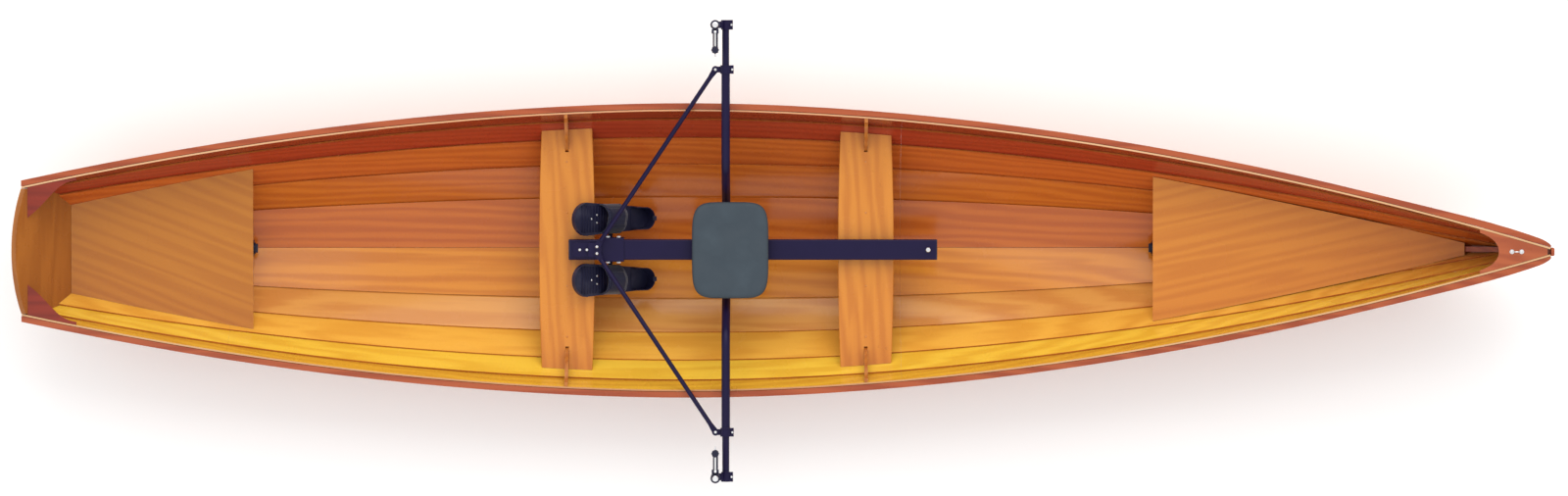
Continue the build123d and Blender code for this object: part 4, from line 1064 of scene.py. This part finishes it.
    def build_soles(self) -> None:
        """Lays a ribbed rubber sole in each footplate."""
        tones = ((0.007, 0.007, 0.028), (0.03, 0.03, 0.055))
        finish = MouldedFinish("sole_rubber", *tones, roughness=0.6, pebble=900.0, specular=0.2)
        rubber = finish.material(self.effects)
        along, up = sole_axes()
        turn = Matrix((along, Vector((0, 1, 0)), up)).transposed().to_4x4()
        length, height = self.rib_size
        for side in ("port", "starboard"):
            heel, toe, middle, face = sole_place(side)
            mesh = bmesh.new()
            count = int((toe - heel - self.rib_start - self.rib_stop) / self.rib_pitch)
            for step in range(count):
                place = self.rib_start + step * self.rib_pitch
                half = self._sole_half(place / (toe - heel)) - self.rib_margin
                centre = along * (heel + place) + up * (face + self.rib_lift)
                centre.y = middle
                spot = Matrix.Translation(centre) @ turn @ Matrix.Diagonal((length, 2 * half, height, 1))
                bmesh.ops.create_cube(mesh, size=1.0, matrix=spot)
            bmesh.ops.bevel(mesh, geom=mesh.edges[:], offset=self.rib_bevel, segments=1, affect="EDGES")
            new_piece(f"sole_ribs_{side}", mesh, rubber, "stretcher")

    def _sole_half(self, share: float) -> float:
        """Half-width of a sole.

        Args:
            share: place from heel, 0, to toe, 1.

        Returns:
            Half the width in metres.
        """
        heel, toe, length = self.heel_radius, self.toe_radius, self.sole_length
        place = share * length
        if place < heel:
            return math.sqrt(max(0.0, heel**2 - (heel - place) ** 2))
        if place > length - toe:
            return math.sqrt(max(0.0, toe**2 - (place - length + toe) ** 2))
        return heel + (toe - heel) * (place - heel) / (length - heel - toe)

    def build_rivets(self, steel: bpy.types.Material) -> None:
        """Rivets each strap to its sole, and the sole to its clip.

        Args:
            steel: the rivets' finish.
        """
        along, up = sole_axes()
        turn = up.to_track_quat("Z", "Y").to_matrix().to_4x4()
        for side in ("port", "starboard"):
            heel, _, middle, face = sole_place(side)
            mesh = bmesh.new()
            for place, offset in self.rivet_places:
                centre = along * (heel + place) + up * (face + self.rivet_lift)
                centre.y = middle + offset
                for radius, height, lift in self.rivet_discs:
                    spot = Matrix.Translation(centre + up * lift) @ turn
                    size = {"radius1": radius, "radius2": radius * self.rivet_taper, "depth": height}
                    bmesh.ops.create_cone(mesh, cap_ends=True, segments=18, matrix=spot, **size)
            new_piece(f"sole_rivets_{side}", mesh, steel, "stretcher")

    def build_loops(self) -> None:
        """Sews a pull loop to the back of each heel cup."""
        along, up = sole_axes()
        finish = WovenFinish("loop_webbing", (0.008, 0.009, 0.035), (0.02, 0.022, 0.065)).material(self.effects)
        for side in ("port", "starboard"):
            points = corners(f"heel_cup_{side}")
            first, _ = spread(points, along)
            _, top = spread(points, up)
            middle = sum(spread(points, Vector((0, 1, 0)))) / 2
            mesh = bmesh.new()
            rows = []
            for i in range(self.loop_steps + 1):
                angle = math.pi * i / self.loop_steps
                ring = []
                for edge, layer in ((-0.5, 0), (0.5, 0), (0.5, 1), (-0.5, 1)):
                    skin_depth = layer * self.loop_thickness
                    out = (self.loop_reach - skin_depth) * math.cos(angle)
                    rise = (self.loop_rise - skin_depth) * math.sin(angle)
                    point = along * (first + self.loop_inset + out) + up * (top - self.loop_drop + rise)
                    point.y = middle + edge * self.loop_width
                    ring.append(mesh.verts.new(point))
                rows.append(ring)
            skin(mesh, rows)
            new_piece(f"heel_loop_{side}", mesh, finish, f"{side}_heel")

    def build(self, steel: bpy.types.Material) -> None:
        """Builds soles, rivets, loops and straps.

        Args:
            steel: the rivets' finish.
        """
        self.build_soles()
        self.build_rivets(steel)
        self.build_loops()
        self.build_straps()


@dataclass
class Rig:
    """The metal and plastic parts that are carried over from the frame."""

    effects: EffectLibrary
    knob_tip: float = 0.0005
    knob_steps: int = 96
    knob_flutes: int = 8
    knob_flute_depth: float = 0.055
    knob_profile: tuple[tuple[float, float], ...] = (
        (0.0105, -0.0085), (0.0128, -0.0075), (0.0131, -0.001), (0.0122, 0.0008), (0.0085, 0.0016),
    )

    def finishes(self) -> dict[str, bpy.types.Material]:
        """Builds the rig's materials.

        Returns:
            Each by name.
        """
        looks = {
            "black": MetalFinish(
                "black_anodising",
                (0.007, 0.004, 0.03),
                (0.09, 0.08, 0.16),
                roughness=0.42,
                metallic=0.2,
                wear=0.35,
                specular=0.22,
            ),
            "steel": MetalFinish("stainless_steel", (0.62, 0.62, 0.63), (0.8, 0.8, 0.8), roughness=0.26, wear=0.3),
            "plastic": MouldedFinish(
                "black_moulding", (0.009, 0.009, 0.03), (0.05, 0.05, 0.085), roughness=0.38, specular=0.3
            ),
            "nylon": MouldedFinish("wheel_nylon", (0.62, 0.58, 0.50), (0.4, 0.36, 0.3), roughness=0.42),
        }
        return {name: look.material(self.effects) for name, look in looks.items()}

    def add_knobs(self, plastic: bpy.types.Material) -> None:
        """Moulds a fluted grip over each gate's knob.

        Args:
            plastic: its finish.
        """
        for side in ("port", "starboard"):
            _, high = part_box(f"oarlock_gate_{side}")
            tip = [corner for corner in corners(f"oarlock_gate_{side}") if corner.z > high.z - self.knob_tip]
            centre = sum(tip, Vector()) / len(tip)
            mesh = bmesh.new()
            rings = []
            for radius, height in self.knob_profile:
                ring = []
                for i in range(self.knob_steps):
                    angle = 2 * math.pi * i / self.knob_steps
                    flute = 1 + self.knob_flute_depth * math.cos(self.knob_flutes * angle)
                    spot = Vector((math.cos(angle), math.sin(angle), 0)) * radius * flute
                    ring.append(mesh.verts.new(Vector((centre.x, centre.y, high.z + height)) + spot))
                rings.append(ring)
            skin(mesh, rings)
            new_piece(f"gate_knob_{side}", mesh, plastic, f"{side}_gate")

    def build(self) -> dict[str, bpy.types.Material]:
        """Dresses every node of the rig.

        Returns:
            The materials, for other assemblies.
        """
        made = self.finishes()
        slots = {"black_anodised": "black", "stainless": "steel", "black_plastic": "plastic", "wheel_plastic": "nylon"}
        for entry in frame["record"]["subparts"]:
            if entry["material_slot"] in slots:
                dress(entry["node"], made[slots[entry["material_slot"]]])
        self.add_knobs(made["plastic"])
        return made


@dataclass
class Studio:
    """Floor, light and camera."""

    lens: float = 160.0
    sensor: float = 36.0
    view_width: float = 5.527
    tilt: float = 1.8
    aim: tuple[float, float, float] = (0.005, 0.009, 0.37)
    reach: float = 200.0
    floor_size: float = 60.0
    floor_drop: float = 0.0005
    lamp_size: float = 9.0
    sky: float = 0.95

    def add_floor(self) -> None:
        """Lays a wide pale floor under the boat."""
        floor_made, tree, shader = blank_material("pale_floor")
        noise = node(tree, "TexNoise", in_Scale=0.7, in_Detail=2.0)
        tone = node(tree, "MapRange", in_To_Min=0.96, in_To_Max=0.99)
        link_chain(tree, (noise.outputs[0], tone.inputs[0]), (tone.outputs[0], shader.inputs["Base Color"]))
        shader.inputs["Roughness"].default_value = 0.9
        mesh = bmesh.new()
        bmesh.ops.create_grid(mesh, x_segments=2, y_segments=2, size=self.floor_size)
        data = bpy.data.meshes.new("studio_floor")
        mesh.to_mesh(data)
        mesh.free()
        floor = bpy.data.objects.new("studio_floor", data)
        floor.location.z = -self.floor_drop
        bpy.context.scene.collection.objects.link(floor)
        data.materials.append(floor_made)

    def add_lights(self) -> None:
        """Hangs a large key light over the port side and a weak fill, under a white sky."""
        lamps = {
            "key": ((0.3, 6.5, 6.0), (0, -0.1, 0.2), 480.0, (1.0, 0.97, 0.92)),
            "fill": ((-1.0, -4.5, 6.0), (0, 0, 0.2), 110.0, (0.94, 0.97, 1.0)),
        }
        for name, (place, aim, power, tint) in lamps.items():
            light = bpy.data.lights.new(name, "AREA")
            light.size = self.lamp_size
            light.energy = power
            light.color = tint
            lamp = bpy.data.objects.new(name, light)
            lamp.location = place
            lamp.rotation_euler = (Vector(aim) - Vector(place)).to_track_quat("-Z", "Y").to_euler()
            bpy.context.scene.collection.objects.link(lamp)
        world = bpy.data.worlds.new("studio")
        world.use_nodes = True
        background = world.node_tree.nodes["Background"]
        background.inputs["Color"].default_value = (1.0, 1.0, 1.0, 1)
        background.inputs["Strength"].default_value = self.sky
        bpy.context.scene.world = world
        bpy.context.scene.view_settings.view_transform = "Standard"

    def add_camera(self) -> None:
        """Puts a long-lens camera straight above, leaning a little to port."""
        lens = bpy.data.cameras.new("overhead")
        lens.lens = self.lens
        lens.sensor_width = self.sensor
        lens.clip_end = self.reach
        distance = self.view_width * self.lens / self.sensor
        lean = math.radians(self.tilt)
        away = Vector((0, math.sin(lean), math.cos(lean)))
        camera = bpy.data.objects.new("overhead", lens)
        right = Vector((1, 0, 0))
        turn = Matrix((right, away.cross(right), away)).transposed().to_4x4()
        camera.matrix_world = Matrix.Translation(Vector(self.aim) + away * distance) @ turn
        bpy.context.scene.collection.objects.link(camera)
        bpy.context.scene.camera = camera

    def build(self) -> None:
        """Sets up the whole studio."""
        self.add_floor()
        self.add_lights()
        self.add_camera()


def main() -> None:
    """Builds every assembly in order."""
    logging.basicConfig(level=logging.INFO, format="%(message)s")
    effects = EffectLibrary()
    rig_finishes = Rig(effects).build()
    log.info("rig dressed")
    Hull(effects).build()
    log.info("hull dressed")
    SeatPad(effects).build()
    log.info("seat pad built")
    Footwear(effects).build(rig_finishes["steel"])
    log.info("soles and straps built")
    Studio().build()
    log.info("studio set")


if __name__ == "__main__":
    main()
